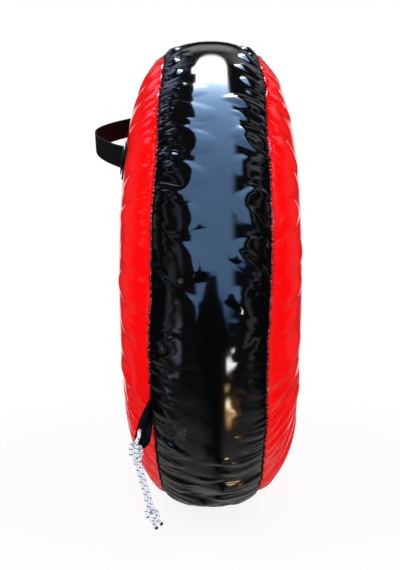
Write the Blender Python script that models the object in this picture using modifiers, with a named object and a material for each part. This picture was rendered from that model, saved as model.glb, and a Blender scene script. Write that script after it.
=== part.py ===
# Snow tube, 0.9 m across, standing on its rim.
# The tube's axis is X and its seat side looks towards -X.
# The origin is the middle of the flat patch that rests on the ground, and +Z is up.
# An angle round the tube is 0 at -Y and rises towards +Z.
# An angle round the tube's section is 0 at its outermost line, 90 degrees at the crest
# of a side, and 180 degrees at its innermost line.

import math

import bmesh
import bpy
import numpy as np
from mathutils import Matrix, Vector

# Driving sizes, in metres
OUTER_RADIUS = 0.45
SECTION_DEPTH = 0.351              # the section's size across the radius
SECTION_WIDTH = 0.2916             # the section's size along the axis
REST_SINK = 0.0115                 # how far the rim is pressed flat
CLEARANCE = 0.0003                 # between neighbouring pieces
WELD = 1e-6                        # points nearer than this are one point
NUDGE = 1e-3                       # a step in radians, for measuring a slope

# The section's outline is an ellipse with fuller shoulders
WIDTH_POWER = 0.8645
DEPTH_POWER = 0.9322
SEAM_ANGLE = math.radians(31.6)
SHOULDER_ANGLES = [math.radians(a) for a in (51, 70.5, 90, 108, 126)]
INNER_ANGLES = [math.radians(a) for a in (150, 180)]
BAND_SHARES = (-1, -2 / 3, -1 / 3, 0, 1 / 3, 2 / 3, 1)
TURNS = 48                         # flats round the tube

# Cover and inner tube
COVER_WALL = 0.0012
SEAM_GAP = 0.0005
BINDING_WALL = 0.0008
BINDING_SHARE = 0.36               # of the facet on each side of the seam
RUBBER_WALL = 0.0015

# Seat floor, a flat disc sewn on a flange of the seat panel. Both are set from the
# panel's innermost bend
FLOOR_SINK = 0.00539               # of the floor's outer face
FLANGE_STEP = 0.00956
FLANGE_WIDTH = 0.020
FLOOR_LAP = 0.012                  # of the floor on its flange

# Zip in the seat floor. Margins are from the flange's inner edge, or the slot's end
ZIP_SLOT_HALF = 0.008
SLOT_MARGIN = 0.017
SLOT_NIP_SHARE = 0.4               # cut off each corner, of the slot's half width
TAPE_MARGIN = 0.010
TAPE_WIDTH = 0.0182
TAPE_WALL = 0.0008
TAPE_EDGE = 0.0018                 # from the zip's middle line
TOOTH_PITCH = 0.005
CHAIN_MARGIN = 0.0135
TOOTH_REACH = 0.0052
TOOTH_ROOT = 0.0040                # the teeth grow out of a corded edge
TOOTH_HEAD = 0.0014
TOOTH_NECK_HALF = 0.0007
TOOTH_HEAD_HALF = 0.0012
TOOTH_HEIGHT = 0.0026
STOP_LENGTH = 0.0034
SLIDER_LENGTH = 0.016
SLIDER_WALL = 0.0015
SLIDER_LIP = 0.0014
SLIDER_MARGIN = 0.021
BAIL_WIDTH = 0.003
BAIL_HALF = 0.0038
BAIL_WALL = 0.0012
BAIL_RISE = 0.0040
PULL_LENGTH = 0.032
PULL_WALL = 0.0016
PULL_BAR_HALF = 0.0007
PULL_WINDOW = 0.0068
PULL_ARM = 0.0018
PULL_END_HALF = 0.0050
PULL_TAPER_SHARE = 0.6             # of the pull's length, where it is widest

# Valve on the inner tube's innermost line, under the axis
VALVE_HOLE = 0.0022
BASE_RADIUS = 0.017
BASE_CROWN_SHARE = 0.72            # of the base's radius, half way up
BASE_RISE = 0.0045
STEM_RADIUS = 0.0044
STEM_HEIGHT = 0.032
NECK_RADIUS = 0.0036
NECK_SHOULDER = 0.020
STEM_BORE = 0.0024
CORE_LENGTH = 0.018
CORE_TOP_DROP = 0.002
CAP_RADIUS = 0.0054
CAP_ROOF = 0.002
VALVE_SIDES = 20

# Handles: webbing sewn on patches, one each side of the seat
WEBBING_WIDTH = 0.038
WEBBING_WALL = 0.0022
HANDLE_HALF_SPAN = 0.155
HANDLE_FOOT = 0.042
PATCH_MARGIN = 0.010
PATCH_WALL = 0.0010
PATCH_LIFT = 0.0011
ARCH_HEIGHT = 0.0240               # where the free arch starts, above the fold line
STRAP_GAP = 0.0006
UPPER_RISE = 0.066
LOWER_RISE = 0.037
# Each handle's angle round the tube, its rise and how flat its arch is
HANDLES = (
    ("upper", math.radians(67), UPPER_RISE, 1.8),
    ("lower", math.radians(224.5), LOWER_RISE, 6.0),
)

# Tow tab, sewn in the seam on the seat side. Its hole is placed from that seam
TAB_ANGLE = math.radians(-27)
TAB_WIDTH = 0.025
TAB_WALL = 0.0016
TAB_LIFT = 0.0011
TAB_HOLE = 0.0040
TAB_OUT = 0.0193
TAB_FRONT = 0.0106
TAB_DROP = 0.0367
# Lower edge and middle bends of the tab, from its hole as shares of its width:
# along X, in front and down
TAB_EDGE_SHARES = (
    (-0.292, 0, 0.420),
    (-0.052, 0, 0.692),
    (0.244, 0, 0.980),
    (0.448, 0, 0.860),
    (0.616, 0, 0.600),
)
TAB_BEND_SHARES = (
    (-0.044, 0.020, -0.892),
    (0.108, 0.032, -0.760),
    (0.332, 0.040, -0.628),
    (0.564, 0.032, -0.500),
    (0.776, 0.020, -0.372),
)
TAB_ROWS = 11

# Tow cord: a doubled cord through the tab's hole, wound into two knots
CORD_DIAMETER = 0.005
BIGHT_RADIUS = 0.0039
BIGHT_DROP = 0.0002                # its top is this far under the hole's middle
KNOT_RADIUS = 0.0083
KNOT_PITCH = 0.0058
CORD_STEP = 0.005
# The pair's middle line: along X from the hole, drop below it, turn of the pair in
# degrees, and half the pair's spread
CORD_ROUTE = (
    (-0.0007, 0.0075, 0, 0.0039),
    (-0.0039, 0.0155, 0, 0.0033),
    (-0.0061, 0.0235, 25, 0.0028),
    (-0.0056, 0.0325, 60, 0.0028),
    (-0.0043, 0.0415, 90, 0.0028),
    (-0.0011, 0.0515, 90, 0.0028),
    (0.0029, 0.0655, 90, 0.0028),
    (0.0075, 0.0815, 90, 0.0028),
    (0.0121, 0.0975, 90, 0.0028),
    (0.0161, 0.1115, 90, 0.0028),
    (0.0187, 0.1215, 90, 0.0028),
    (0.0215, 0.1305, 90, 0.0029),
    (0.0255, 0.1385, 90, 0.0034),
    (0.0289, 0.1440, 90, 0.0040),
)
UPPER_KNOT = ((-0.0067, 0.0217), (-0.0035, 0.0472), 3.0)
END_KNOT = ((0.0165, 0.1155), (0.0212, 0.1307), 1.9)

HALF_DEPTH = SECTION_DEPTH / 2
HALF_WIDTH = SECTION_WIDTH / 2
CREST_RADIUS = OUTER_RADIUS - HALF_DEPTH
AXIS_HEIGHT = OUTER_RADIUS - REST_SINK
BINDING_INSET = COVER_WALL + CLEARANCE
TUBE_INSET = BINDING_INSET + BINDING_WALL + CLEARANCE
STRAP_SEAT = PATCH_LIFT + PATCH_WALL + STRAP_GAP
FOLD_HEIGHT = HALF_WIDTH + STRAP_SEAT
CENTRE = Vector((0, 0, AXIS_HEIGHT))


def clear_scene():
    for item in list(bpy.data.objects):
        bpy.data.objects.remove(item, do_unlink=True)
    for group in list(bpy.data.collections):
        bpy.data.collections.remove(group)


def new_collection(name):
    group = bpy.data.collections.new(name)
    bpy.context.scene.collection.children.link(group)
    return group


def material(name, colour, roughness, metallic=0.0):
    surface = bpy.data.materials.new(name)
    surface.use_nodes = True
    shader = surface.node_tree.nodes["Principled BSDF"]
    shader.inputs["Base Color"].default_value = (*colour, 1.0)
    shader.inputs["Roughness"].default_value = roughness
    shader.inputs["Metallic"].default_value = metallic
    surface.diffuse_color = (*colour, 1.0)
    return surface


def add_object(name, data, surface, group, smooth_angle=None):
    data.materials.clear()
    data.materials.append(surface)
    item = bpy.data.objects.new(name, data)
    group.objects.link(item)
    if smooth_angle is not None:
        data.shade_smooth()
        data.set_sharp_from_angle(angle=smooth_angle)
    return item


def evaluated_mesh(item):
    """The object's shape after its modifiers, in world space, as a closed mesh."""
    view = bpy.context.evaluated_depsgraph_get()
    view.update()
    data = bpy.data.meshes.new_from_object(item.evaluated_get(view))
    data.transform(item.matrix_world)
    shape = bmesh.new()
    shape.from_mesh(data)
    bmesh.ops.remove_doubles(shape, verts=shape.verts, dist=WELD)
    bmesh.ops.recalc_face_normals(shape, faces=shape.faces)
    shape.to_mesh(data)
    shape.free()
    return data


def remove(item):
    bpy.data.objects.remove(item, do_unlink=True)


def set_origin(item, spot):
    """Put a moving piece's origin on its joint's axis, with its shape where it is."""
    item.data.transform(Matrix.Translation(-spot))
    item.location = spot


def section_outline(angle):
    """A point of the tube's section: its place along the axis and its radius."""
    across = math.copysign(abs(math.sin(angle)) ** WIDTH_POWER, math.sin(angle))
    deep = math.copysign(abs(math.cos(angle)) ** DEPTH_POWER, math.cos(angle))
    return np.array([HALF_WIDTH * across, CREST_RADIUS + HALF_DEPTH * deep])


def section_slope(angle):
    """How the section's point moves with its angle, in metres a radian."""
    return (section_outline(angle + NUDGE) - section_outline(angle - NUDGE)) / (2 * NUDGE)


def section_inward(angle):
    """The unit direction into the tube, square to its section's outline."""
    along = section_slope(angle)
    return np.array([along[1], -along[0]]) / np.hypot(*along)


def section_point(angle, inset):
    return section_outline(angle) + inset * section_inward(angle)


def seam_step():
    """The section angle that half the seam's gap takes up."""
    return SEAM_GAP / 2 / np.hypot(*section_slope(SEAM_ANGLE))


def between(angle_a, angle_b, share, inset):
    start = section_point(angle_a, inset)
    return start + share * (section_point(angle_b, inset) - start)


def turned(profile, axis, turns, insets=None):
    """Turn a profile of (along, radius) points round an axis. A ring's profile is closed,
    and one that starts and ends on the axis is left open. Insets press the rim flat."""
    closed = min(abs(profile[0][1]), abs(profile[-1][1])) > WELD
    count = len(profile)
    edges = [(i, (i + 1) % count) for i in range(count if closed else count - 1)]
    if axis == "X":
        corners = [(along, 0, radius) for along, radius in profile]
    else:
        corners = [(radius, 0, along) for along, radius in profile]
    data = bpy.data.meshes.new("profile")
    data.from_pydata(corners, edges, [])
    item = bpy.data.objects.new("profile", data)
    bpy.context.scene.collection.objects.link(item)
    screw = item.modifiers.new("turn", "SCREW")
    screw.axis = axis
    screw.steps = turns
    screw.render_steps = turns
    screw.use_merge_vertices = True
    screw.merge_threshold = WELD
    solid = evaluated_mesh(item)
    remove(item)
    if insets is not None:
        points = np.empty(len(solid.vertices) * 3)
        solid.vertices.foreach_get("co", points)
        points = points.reshape(-1, 3)
        ring = np.column_stack([points[:, 0], np.hypot(points[:, 1], points[:, 2])])
        gaps = np.linalg.norm(ring[:, None] - np.array(profile)[None], axis=2)
        level = np.array(insets)[gaps.argmin(axis=1)] - AXIS_HEIGHT
        points[:, 2] = np.maximum(points[:, 2], level)
        solid.vertices.foreach_set("co", points.ravel())
        shape = bmesh.new()
        shape.from_mesh(solid)
        bmesh.ops.triangulate(shape, faces=shape.faces, quad_method="SHORT_EDGE")
        shape.to_mesh(solid)
        shape.free()
    return solid


def shell_profile(points_at, outer, inner):
    """A wall's closed outline, out along one inset and back along the other."""
    return points_at(outer) + points_at(inner)[::-1]


def make_solid(name, data, surface, group, smooth=60):
    item = add_object(name, data, surface, group, math.radians(smooth))
    item.location = CENTRE
    return item


def cut(item, cutter, operation="DIFFERENCE"):
    """Apply one Boolean and keep the result as the item's own mesh."""
    step = item.modifiers.new("cut", "BOOLEAN")
    step.operation = operation
    step.solver = "EXACT"
    step.object = cutter
    bpy.context.view_layer.update()
    view = bpy.context.evaluated_depsgraph_get()
    data = bpy.data.meshes.new_from_object(item.evaluated_get(view))
    item.modifiers.remove(step)
    old = item.data
    item.data = data
    bpy.data.meshes.remove(old)


def hide_cutter(item):
    item.hide_render = True
    item.display_type = "WIRE"


def flat_plate(name, outlines, thickness, frame, surface, group):
    """A flat plate from closed outlines. The first is its edge, and others are holes."""
    curve = bpy.data.curves.new(name, "CURVE")
    curve.dimensions = "2D"
    curve.fill_mode = "BOTH"
    curve.extrude = thickness / 2
    for outline in outlines:
        line = curve.splines.new("POLY")
        line.points.add(len(outline) - 1)
        for point, (x, y) in zip(line.points, outline):
            point.co = (x, y, 0, 1)
        line.use_cyclic_u = True
    curve.materials.append(surface)
    item = bpy.data.objects.new(name, curve)
    item.matrix_world = frame
    group.objects.link(item)
    return item


def extruded(name, outline, thickness, frame, surface, group):
    """One flat face, given its thickness towards its frame's Z."""
    shape = bmesh.new()
    face = shape.faces.new([shape.verts.new((x, y, 0)) for x, y in outline])
    grown = bmesh.ops.extrude_face_region(shape, geom=[face])["geom"]
    raised = [item for item in grown if isinstance(item, bmesh.types.BMVert)]
    bmesh.ops.translate(shape, verts=raised, vec=(0, 0, thickness))
    bmesh.ops.recalc_face_normals(shape, faces=shape.faces)
    data = bpy.data.meshes.new(name)
    shape.to_mesh(data)
    shape.free()
    item = add_object(name, data, surface, group)
    item.matrix_world = frame
    return item


def circle(radius, count):
    return [(radius * math.cos(2 * math.pi * i / count),
             radius * math.sin(2 * math.pi * i / count)) for i in range(count)]


def slot(half_width, end):
    """A long slot with cut corners, upright in its plane."""
    nip = half_width * SLOT_NIP_SHARE
    return [(half_width, -end + nip), (half_width, end - nip), (half_width - nip, end),
            (nip - half_width, end), (-half_width, end - nip), (-half_width, nip - end),
            (nip - half_width, -end), (half_width - nip, -end)]


def seat_frame(height, along=0.0):
    """A frame on the seat side: its X is -Y, its Y is up and its Z looks outwards."""
    return Matrix(((0, 0, -1, -height),
                   (-1, 0, 0, 0),
                   (0, 1, 0, AXIS_HEIGHT + along),
                   (0, 0, 0, 1)))


def panel_angles():
    return [SEAM_ANGLE + seam_step()] + SHOULDER_ANGLES


def floor_height():
    """The seat floor's outer face, from the tube's middle plane."""
    return section_outline(SHOULDER_ANGLES[-1])[0] - FLOOR_SINK


def flange_height():
    return floor_height() - COVER_WALL - CLEARANCE


def flange_outer():
    return section_outline(SHOULDER_ANGLES[-1])[1] - FLANGE_STEP


def flange_inner():
    return flange_outer() - FLANGE_WIDTH


def slot_end():
    """Half the length of the zip's slot."""
    return flange_inner() - SLOT_MARGIN


def build_inner_tube(group, cutters, rubber):
    half = [SEAM_ANGLE * share for share in BAND_SHARES[3:]] + SHOULDER_ANGLES + INNER_ANGLES
    angles = half + [-a for a in half[-2:0:-1]]
    shape = bmesh.new()
    for inset, inside in ((TUBE_INSET, False), (TUBE_INSET + RUBBER_WALL, True)):
        profile = [tuple(section_point(a, inset)) for a in angles]
        skin = turned(profile, "X", TURNS, [inset] * len(profile))
        first = len(shape.faces)
        shape.from_mesh(skin)
        shape.faces.ensure_lookup_table()
        if inside:
            bmesh.ops.reverse_faces(shape, faces=shape.faces[first:])
        bpy.data.meshes.remove(skin)
    data = bpy.data.meshes.new("inner_tube")
    shape.to_mesh(data)
    shape.free()
    tube = make_solid("inner_tube", data, rubber, group)
    floor = valve_floor()
    bpy.ops.mesh.primitive_cylinder_add(vertices=VALVE_SIDES, radius=VALVE_HOLE,
                                        depth=STEM_HEIGHT)
    drill = bpy.context.object
    drill.name = "valve_drill"
    drill.location = (0, 0, floor)
    move_to(drill, cutters)
    hide_cutter(drill)
    cut(tube, drill)
    return tube


def move_to(item, group):
    for owner in list(item.users_collection):
        owner.objects.unlink(item)
    group.objects.link(item)


def valve_floor():
    """Height of the inner tube's surface under the valve."""
    return AXIS_HEIGHT - (OUTER_RADIUS - SECTION_DEPTH + TUBE_INSET)


def build_band(group, vinyl):
    step = seam_step()
    angles = [SEAM_ANGLE * share for share in BAND_SHARES]
    angles[0] += step
    angles[-1] -= step

    def at(inset):
        return [tuple(section_point(a, inset)) for a in angles]
    profile = shell_profile(at, 0, COVER_WALL)
    insets = [0] * len(angles) + [COVER_WALL] * len(angles)
    make_solid("side_band", turned(profile, "X", TURNS, insets), vinyl, group)


def mirrored(profile):
    return [(-along, radius) for along, radius in profile]


def build_panels(group, vinyl, floor_vinyl):
    def seat_side(inset):
        curve = [tuple(section_point(a, inset)) for a in panel_angles()]
        level = flange_height() - inset
        return curve + [(level, flange_outer()), (level, flange_inner())]
    make_solid("seat_side_panel",
               turned(mirrored(shell_profile(seat_side, 0, COVER_WALL)), "X", TURNS), vinyl, group)

    def back_side(inset):
        curve = [tuple(section_point(a, inset)) for a in panel_angles()]
        level = flange_height() - inset
        return curve + [(level, flange_outer()), (level, 0.0)]
    outer = back_side(0)
    inner = back_side(COVER_WALL)
    make_solid("back_side_panel", turned(outer[::-1] + inner, "X", TURNS), vinyl, group)

    outlines = [circle(flange_inner() + FLOOR_LAP, TURNS), slot(ZIP_SLOT_HALF, slot_end())]
    frame = seat_frame(floor_height() - COVER_WALL / 2)
    flat_plate("seat_floor", outlines, COVER_WALL, frame, floor_vinyl, group)


def build_bindings(group, tape):
    band_inner = SEAM_ANGLE * BAND_SHARES[-2]
    panel_next = SHOULDER_ANGLES[0]

    def at(inset):
        return [tuple(between(SEAM_ANGLE, band_inner, BINDING_SHARE, inset)),
                tuple(section_point(SEAM_ANGLE, inset)),
                tuple(between(SEAM_ANGLE, panel_next, BINDING_SHARE, inset))]
    profile = shell_profile(at, BINDING_INSET, BINDING_INSET + BINDING_WALL)
    insets = [BINDING_INSET] * 3 + [BINDING_INSET + BINDING_WALL] * 3
    make_solid("back_seam_binding", turned(profile, "X", TURNS, insets), tape, group)
    make_solid("seat_seam_binding", turned(mirrored(profile), "X", TURNS, insets), tape, group)


def build_valve(group, cutters, rubber, brass, steel, cap_plastic):
    floor = valve_floor()
    start = floor + CLEARANCE

    def place(name, profile, surface):
        data = turned(profile, "Z", VALVE_SIDES)
        item = add_object(name, data, surface, group, math.radians(40))
        item.location = (0, 0, start)
        return item
    bore = STEM_RADIUS + CLEARANCE
    below = BASE_RISE
    base = place("valve_base", [(BASE_RISE, bore), (BASE_RISE, bore + BASE_RISE / 2),
                                (BASE_RISE / 2, BASE_RADIUS * BASE_CROWN_SHARE), (0, BASE_RADIUS),
                                (-below, BASE_RADIUS), (-below, bore)], rubber)
    angles = [math.radians(a) for a in (108, 126, 150, 180, 210, 234, 252)]
    outline = [tuple(section_point(a, TUBE_INSET - CLEARANCE)) for a in angles]
    keep_out = turned(outline, "X", TURNS)
    guard = bpy.data.objects.new("tube_clearance", keep_out)
    cutters.objects.link(guard)
    guard.location = CENTRE
    hide_cutter(guard)
    cut(base, guard)

    place("valve_stem", [(0, STEM_RADIUS), (NECK_SHOULDER, STEM_RADIUS),
                         (NECK_SHOULDER, NECK_RADIUS), (STEM_HEIGHT, NECK_RADIUS),
                         (STEM_HEIGHT, STEM_BORE), (0, STEM_BORE)], brass)
    core = STEM_BORE - CLEARANCE
    top = STEM_HEIGHT - CORE_TOP_DROP
    place("valve_core", [(top, 0), (top, core / 3), (top - core, core / 3), (top - core, core),
                         (top - CORE_LENGTH, core), (top - CORE_LENGTH, 0)], steel)
    inside = NECK_RADIUS + CLEARANCE
    foot = NECK_SHOULDER + CLEARANCE
    roof = STEM_HEIGHT + CLEARANCE
    place("valve_cap", [(roof + CAP_ROOF, 0), (roof + CAP_ROOF, CAP_RADIUS - CAP_ROOF / 2),
                        (roof + CAP_ROOF / 2, CAP_RADIUS), (foot, CAP_RADIUS),
                        (foot, inside), (roof, inside), (roof, 0)], cap_plastic)


def build_zip(group, tape_cloth, tooth_plastic, metal):
    tape_face = flange_height()
    tooth_foot = tape_face + CLEARANCE
    tooth_top = tooth_foot + TOOTH_HEIGHT
    tooth_count = 1 + round(2 * (slot_end() - CHAIN_MARGIN) / TOOTH_PITCH)
    chain = TOOTH_PITCH * (tooth_count - 1)
    end_of_chain = chain / 2 + TOOTH_PITCH / 4 + TOOTH_HEAD_HALF
    for side, word in ((1, "front"), (-1, "rear")):
        edge = side * TAPE_EDGE
        far = side * (TAPE_EDGE + TAPE_WIDTH)
        end = flange_inner() - TAPE_MARGIN
        outline = [(edge, -end), (far, -end), (far, end), (edge, end)]
        flat_plate("zip_tape_" + word, [outline], TAPE_WALL,
                   seat_frame(tape_face - TAPE_WALL / 2), tape_cloth, group)
        first = -chain / 2 - side * TOOTH_PITCH / 4
        comb = [(side * TOOTH_REACH, -end_of_chain), (side * TOOTH_REACH, end_of_chain),
                (side * TOOTH_ROOT, end_of_chain)]
        for index in reversed(range(tooth_count)):
            place = first + index * TOOTH_PITCH
            comb += [(side * TOOTH_ROOT, place + TOOTH_NECK_HALF),
                     (-side * TOOTH_HEAD, place + TOOTH_HEAD_HALF),
                     (-side * TOOTH_HEAD, place - TOOTH_HEAD_HALF),
                     (side * TOOTH_ROOT, place - TOOTH_NECK_HALF)]
        comb.append((side * TOOTH_ROOT, -end_of_chain))
        extruded("zip_teeth_" + word, comb, TOOTH_HEIGHT, seat_frame(tooth_foot),
                 tooth_plastic, group)
    ends = end_of_chain + CLEARANCE + STOP_LENGTH / 2
    stop = [(TOOTH_REACH, -STOP_LENGTH / 2), (TOOTH_REACH, STOP_LENGTH / 2),
            (-TOOTH_REACH, STOP_LENGTH / 2), (-TOOTH_REACH, -STOP_LENGTH / 2)]
    for word, place in (("upper", ends), ("lower", -ends)):
        flat_plate("zip_stop_" + word, [stop], TOOTH_HEIGHT,
                   seat_frame(tooth_foot + TOOTH_HEIGHT / 2, place), metal, group)
    build_slider(group, tooth_foot, tooth_top, metal)


def build_slider(group, tooth_foot, tooth_top, metal):
    """A channel over the teeth, with a bail on it that holds the pull."""
    under = tooth_top + CLEARANCE
    plate_top = under + SLIDER_WALL
    inside = TOOTH_REACH + CLEARANCE
    outside = inside + SLIDER_LIP
    lip = SLIDER_LIP / 2
    channel = [(-outside, tooth_foot), (-inside, tooth_foot), (-inside, under), (inside, under),
               (inside, tooth_foot), (outside, tooth_foot), (outside, plate_top - lip),
               (outside - lip, plate_top), (lip - outside, plate_top), (-outside, plate_top - lip)]
    # In this frame X is along -Y, Y looks outwards and Z is up
    start = SLIDER_MARGIN - slot_end()
    place = AXIS_HEIGHT + start
    frame = Matrix(((0, -1, 0, 0), (-1, 0, 0, 0), (0, 0, 1, place), (0, 0, 0, 1)))
    body = flat_plate("zip_channel", [channel], SLIDER_LENGTH, frame, metal, group)
    hinge = plate_top + BAIL_RISE / 2 - BAIL_WALL / 4
    inner = BAIL_HALF - BAIL_WALL
    foot = plate_top - BAIL_WALL / 4
    bail_outline = [(-BAIL_HALF, foot), (-inner, foot), (-inner, plate_top + BAIL_RISE - BAIL_WALL),
                    (inner, plate_top + BAIL_RISE - BAIL_WALL), (inner, foot), (BAIL_HALF, foot),
                    (BAIL_HALF, plate_top + BAIL_RISE - BAIL_WALL / 2),
                    (BAIL_HALF - BAIL_WALL / 2, plate_top + BAIL_RISE),
                    (BAIL_WALL / 2 - BAIL_HALF, plate_top + BAIL_RISE),
                    (-BAIL_HALF, plate_top + BAIL_RISE - BAIL_WALL / 2)]
    # In this frame X is down, Y looks outwards and Z is along Y
    side = Matrix(((0, -1, 0, 0), (0, 0, 1, 0), (-1, 0, 0, place), (0, 0, 0, 1)))
    bail = flat_plate("zip_bail", [bail_outline], BAIL_WIDTH, side, metal, group)
    slider = add_object("zip_slider", evaluated_mesh(body), metal, group)
    bridge = add_object("zip_bridge", evaluated_mesh(bail), metal, group)
    cut(slider, bridge, "UNION")
    remove(body)
    remove(bail)
    remove(bridge)
    slider.data.materials.clear()
    slider.data.materials.append(metal)
    set_origin(slider, Vector((-tooth_foot, 0, place)))

    arm_in = BAIL_WIDTH / 2 + CLEARANCE
    arm_out = arm_in + PULL_ARM
    taper = PULL_LENGTH * PULL_TAPER_SHARE
    outline = [(-arm_out, PULL_BAR_HALF), (arm_out, PULL_BAR_HALF), (arm_out, -PULL_WINDOW),
               (PULL_END_HALF, -taper), (PULL_END_HALF, -PULL_LENGTH + PULL_ARM),
               (PULL_END_HALF - PULL_ARM, -PULL_LENGTH), (PULL_ARM - PULL_END_HALF, -PULL_LENGTH),
               (-PULL_END_HALF, -PULL_LENGTH + PULL_ARM), (-PULL_END_HALF, -taper),
               (-arm_out, -PULL_WINDOW)]
    window = [(-arm_in, -PULL_BAR_HALF), (arm_in, -PULL_BAR_HALF),
              (arm_in, -PULL_WINDOW), (-arm_in, -PULL_WINDOW)]
    frame = seat_frame(hinge, start)
    flat_plate("zip_pull", [outline, window], PULL_WALL, frame, metal, group)


def panel_height(radius):
    """How far the seat side's facets stand from the middle plane at a radius."""
    points = [section_point(a, 0) for a in panel_angles()][::-1]
    return np.interp(radius, [p[1] for p in points], [p[0] for p in points])


def handle_frame(angle):
    """Unit vectors along a handle and outwards across it."""
    along = np.array([0, math.sin(angle), math.cos(angle)])
    across = np.array([0, -math.cos(angle), math.sin(angle)])
    return along, across


def strap_height(run, wide, rise, fullness):
    """Height of the strap's underside at a run along it and a place across it."""
    share = np.clip(1 - np.abs(run / HANDLE_HALF_SPAN) ** fullness, 0, None)
    lift = rise * share
    ease = np.clip(lift / (ARCH_HEIGHT / 2), 0, 1)
    here = panel_height(np.hypot(CREST_RADIUS + wide, run))
    middle = panel_height(np.hypot(CREST_RADIUS, run))
    return here * (1 - ease) + middle * ease + lift + STRAP_SEAT


def draped(name, runs, places, heights, wall, angle, surface, group):
    """A closed slab over the seat side. Heights hold its underside at each run and place,
    and wall its thickness, both measured along the axis."""
    along, across = handle_frame(angle)
    count, wide = heights.shape
    spots = ((CREST_RADIUS + places)[None, :, None] * across + runs[:, None, None] * along)
    under = spots + np.array(CENTRE)
    over = under.copy()
    under[..., 0] = -heights
    over[..., 0] = -(heights + wall)
    index = np.arange(count * wide).reshape(count, wide)
    shift = count * wide
    low, high = index[:-1, :-1], index[1:, 1:]
    halves = [np.stack([low, index[1:, :-1], high], -1), np.stack([low, high, index[:-1, 1:]], -1)]
    sheet = np.concatenate([half.reshape(-1, 3) for half in halves])
    rim = np.concatenate([index[0, :-1], index[:-1, -1], index[-1, :0:-1], index[:0:-1, 0]])
    ahead = np.roll(rim, -1)
    walls = np.stack([rim, ahead, ahead + shift, rim + shift], -1)
    faces = sheet[:, ::-1].tolist() + (sheet + shift).tolist() + walls.tolist()
    data = bpy.data.meshes.new(name)
    data.from_pydata(np.concatenate([under.reshape(-1, 3), over.reshape(-1, 3)]), [], faces)
    shape = bmesh.new()
    shape.from_mesh(data)
    bmesh.ops.recalc_face_normals(shape, faces=shape.faces)
    shape.to_mesh(data)
    shape.free()
    return add_object(name, data, surface, group, math.radians(35))


def arch_start(rise, fullness):
    """Run from the handle's middle at which the strap reaches the arch's height."""
    runs = np.linspace(0, HANDLE_HALF_SPAN, 400)
    heights = strap_height(runs, 0.0, rise, fullness)
    return float(np.interp(-(FOLD_HEIGHT + ARCH_HEIGHT), -heights, runs))


def build_handle(word, angle, rise, fullness, group, webbing, patch_vinyl):
    places = np.linspace(-WEBBING_WIDTH / 2, WEBBING_WIDTH / 2, 5)
    margin = WEBBING_WIDTH / 2 + PATCH_MARGIN
    patch_places = np.concatenate([[-margin], places, [margin]])
    start = arch_start(rise, fullness)

    def strap(name, runs):
        heights = strap_height(runs[:, None], places[None, :], rise, fullness)
        middle = strap_height(runs, 0.0, rise, fullness)
        slope = np.gradient(middle, runs)
        wall = WEBBING_WALL * np.sqrt(1 + slope ** 2)
        return draped(name, runs, places, heights, wall[:, None], angle, webbing, group)
    split = STRAP_GAP / 2
    arch = strap(word + "_handle_strap", np.linspace(split - start, start - split, 21))
    across = Vector(handle_frame(angle)[1])
    set_origin(arch, CENTRE + CREST_RADIUS * across - Vector((FOLD_HEIGHT, 0, 0)))
    foot_rows = np.linspace(HANDLE_HALF_SPAN, HANDLE_HALF_SPAN + HANDLE_FOOT, 6)
    rise_rows = np.linspace(start + split, HANDLE_HALF_SPAN, 7)[:-1]
    patch_rows = np.concatenate([[HANDLE_HALF_SPAN - PATCH_MARGIN], foot_rows,
                                 [HANDLE_HALF_SPAN + HANDLE_FOOT + PATCH_MARGIN]])
    for side, end in ((-1, "front"), (1, "rear")):
        rows = np.sort(side * np.concatenate([rise_rows, foot_rows]))
        strap(f"{word}_handle_{end}_end", rows)
        base = np.sort(side * patch_rows)
        radii = np.hypot(CREST_RADIUS + patch_places[None, :], base[:, None])
        draped(f"{word}_handle_{end}_patch", base, patch_places,
               panel_height(radii) + PATCH_LIFT, PATCH_WALL, angle, patch_vinyl, group)


def flat_share(angle):
    """How far out a flat of the cover lies at an angle, as a share of its corners' radius."""
    facet = 2 * math.pi / TURNS
    return math.cos(facet / 2) / math.cos(angle % facet - facet / 2)


def seam_spot():
    """The place of the tow tab on the seat side's seam, with the seam's direction there
    and the way out of the cover."""
    along, radius = section_outline(SEAM_ANGLE)
    radius *= flat_share(TAB_ANGLE)
    inward_along, inward_radius = section_inward(SEAM_ANGLE)
    radial = Vector((0, -math.cos(TAB_ANGLE), math.sin(TAB_ANGLE)))
    line = Vector((0, math.sin(TAB_ANGLE), math.cos(TAB_ANGLE)))
    outward = Vector((inward_along, 0, 0)) - radial * inward_radius
    return CENTRE + Vector((-along, 0, 0)) + radial * radius, line, outward


def from_hole(across, front, drop):
    """A point given from the middle of the tab's hole: along X, in front and down."""
    spot = seam_spot()[0]
    return spot + Vector((across - TAB_OUT, -TAB_FRONT - front, -TAB_DROP - drop))


def from_hole_shares(shares):
    return from_hole(*[TAB_WIDTH * share for share in shares])


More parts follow.
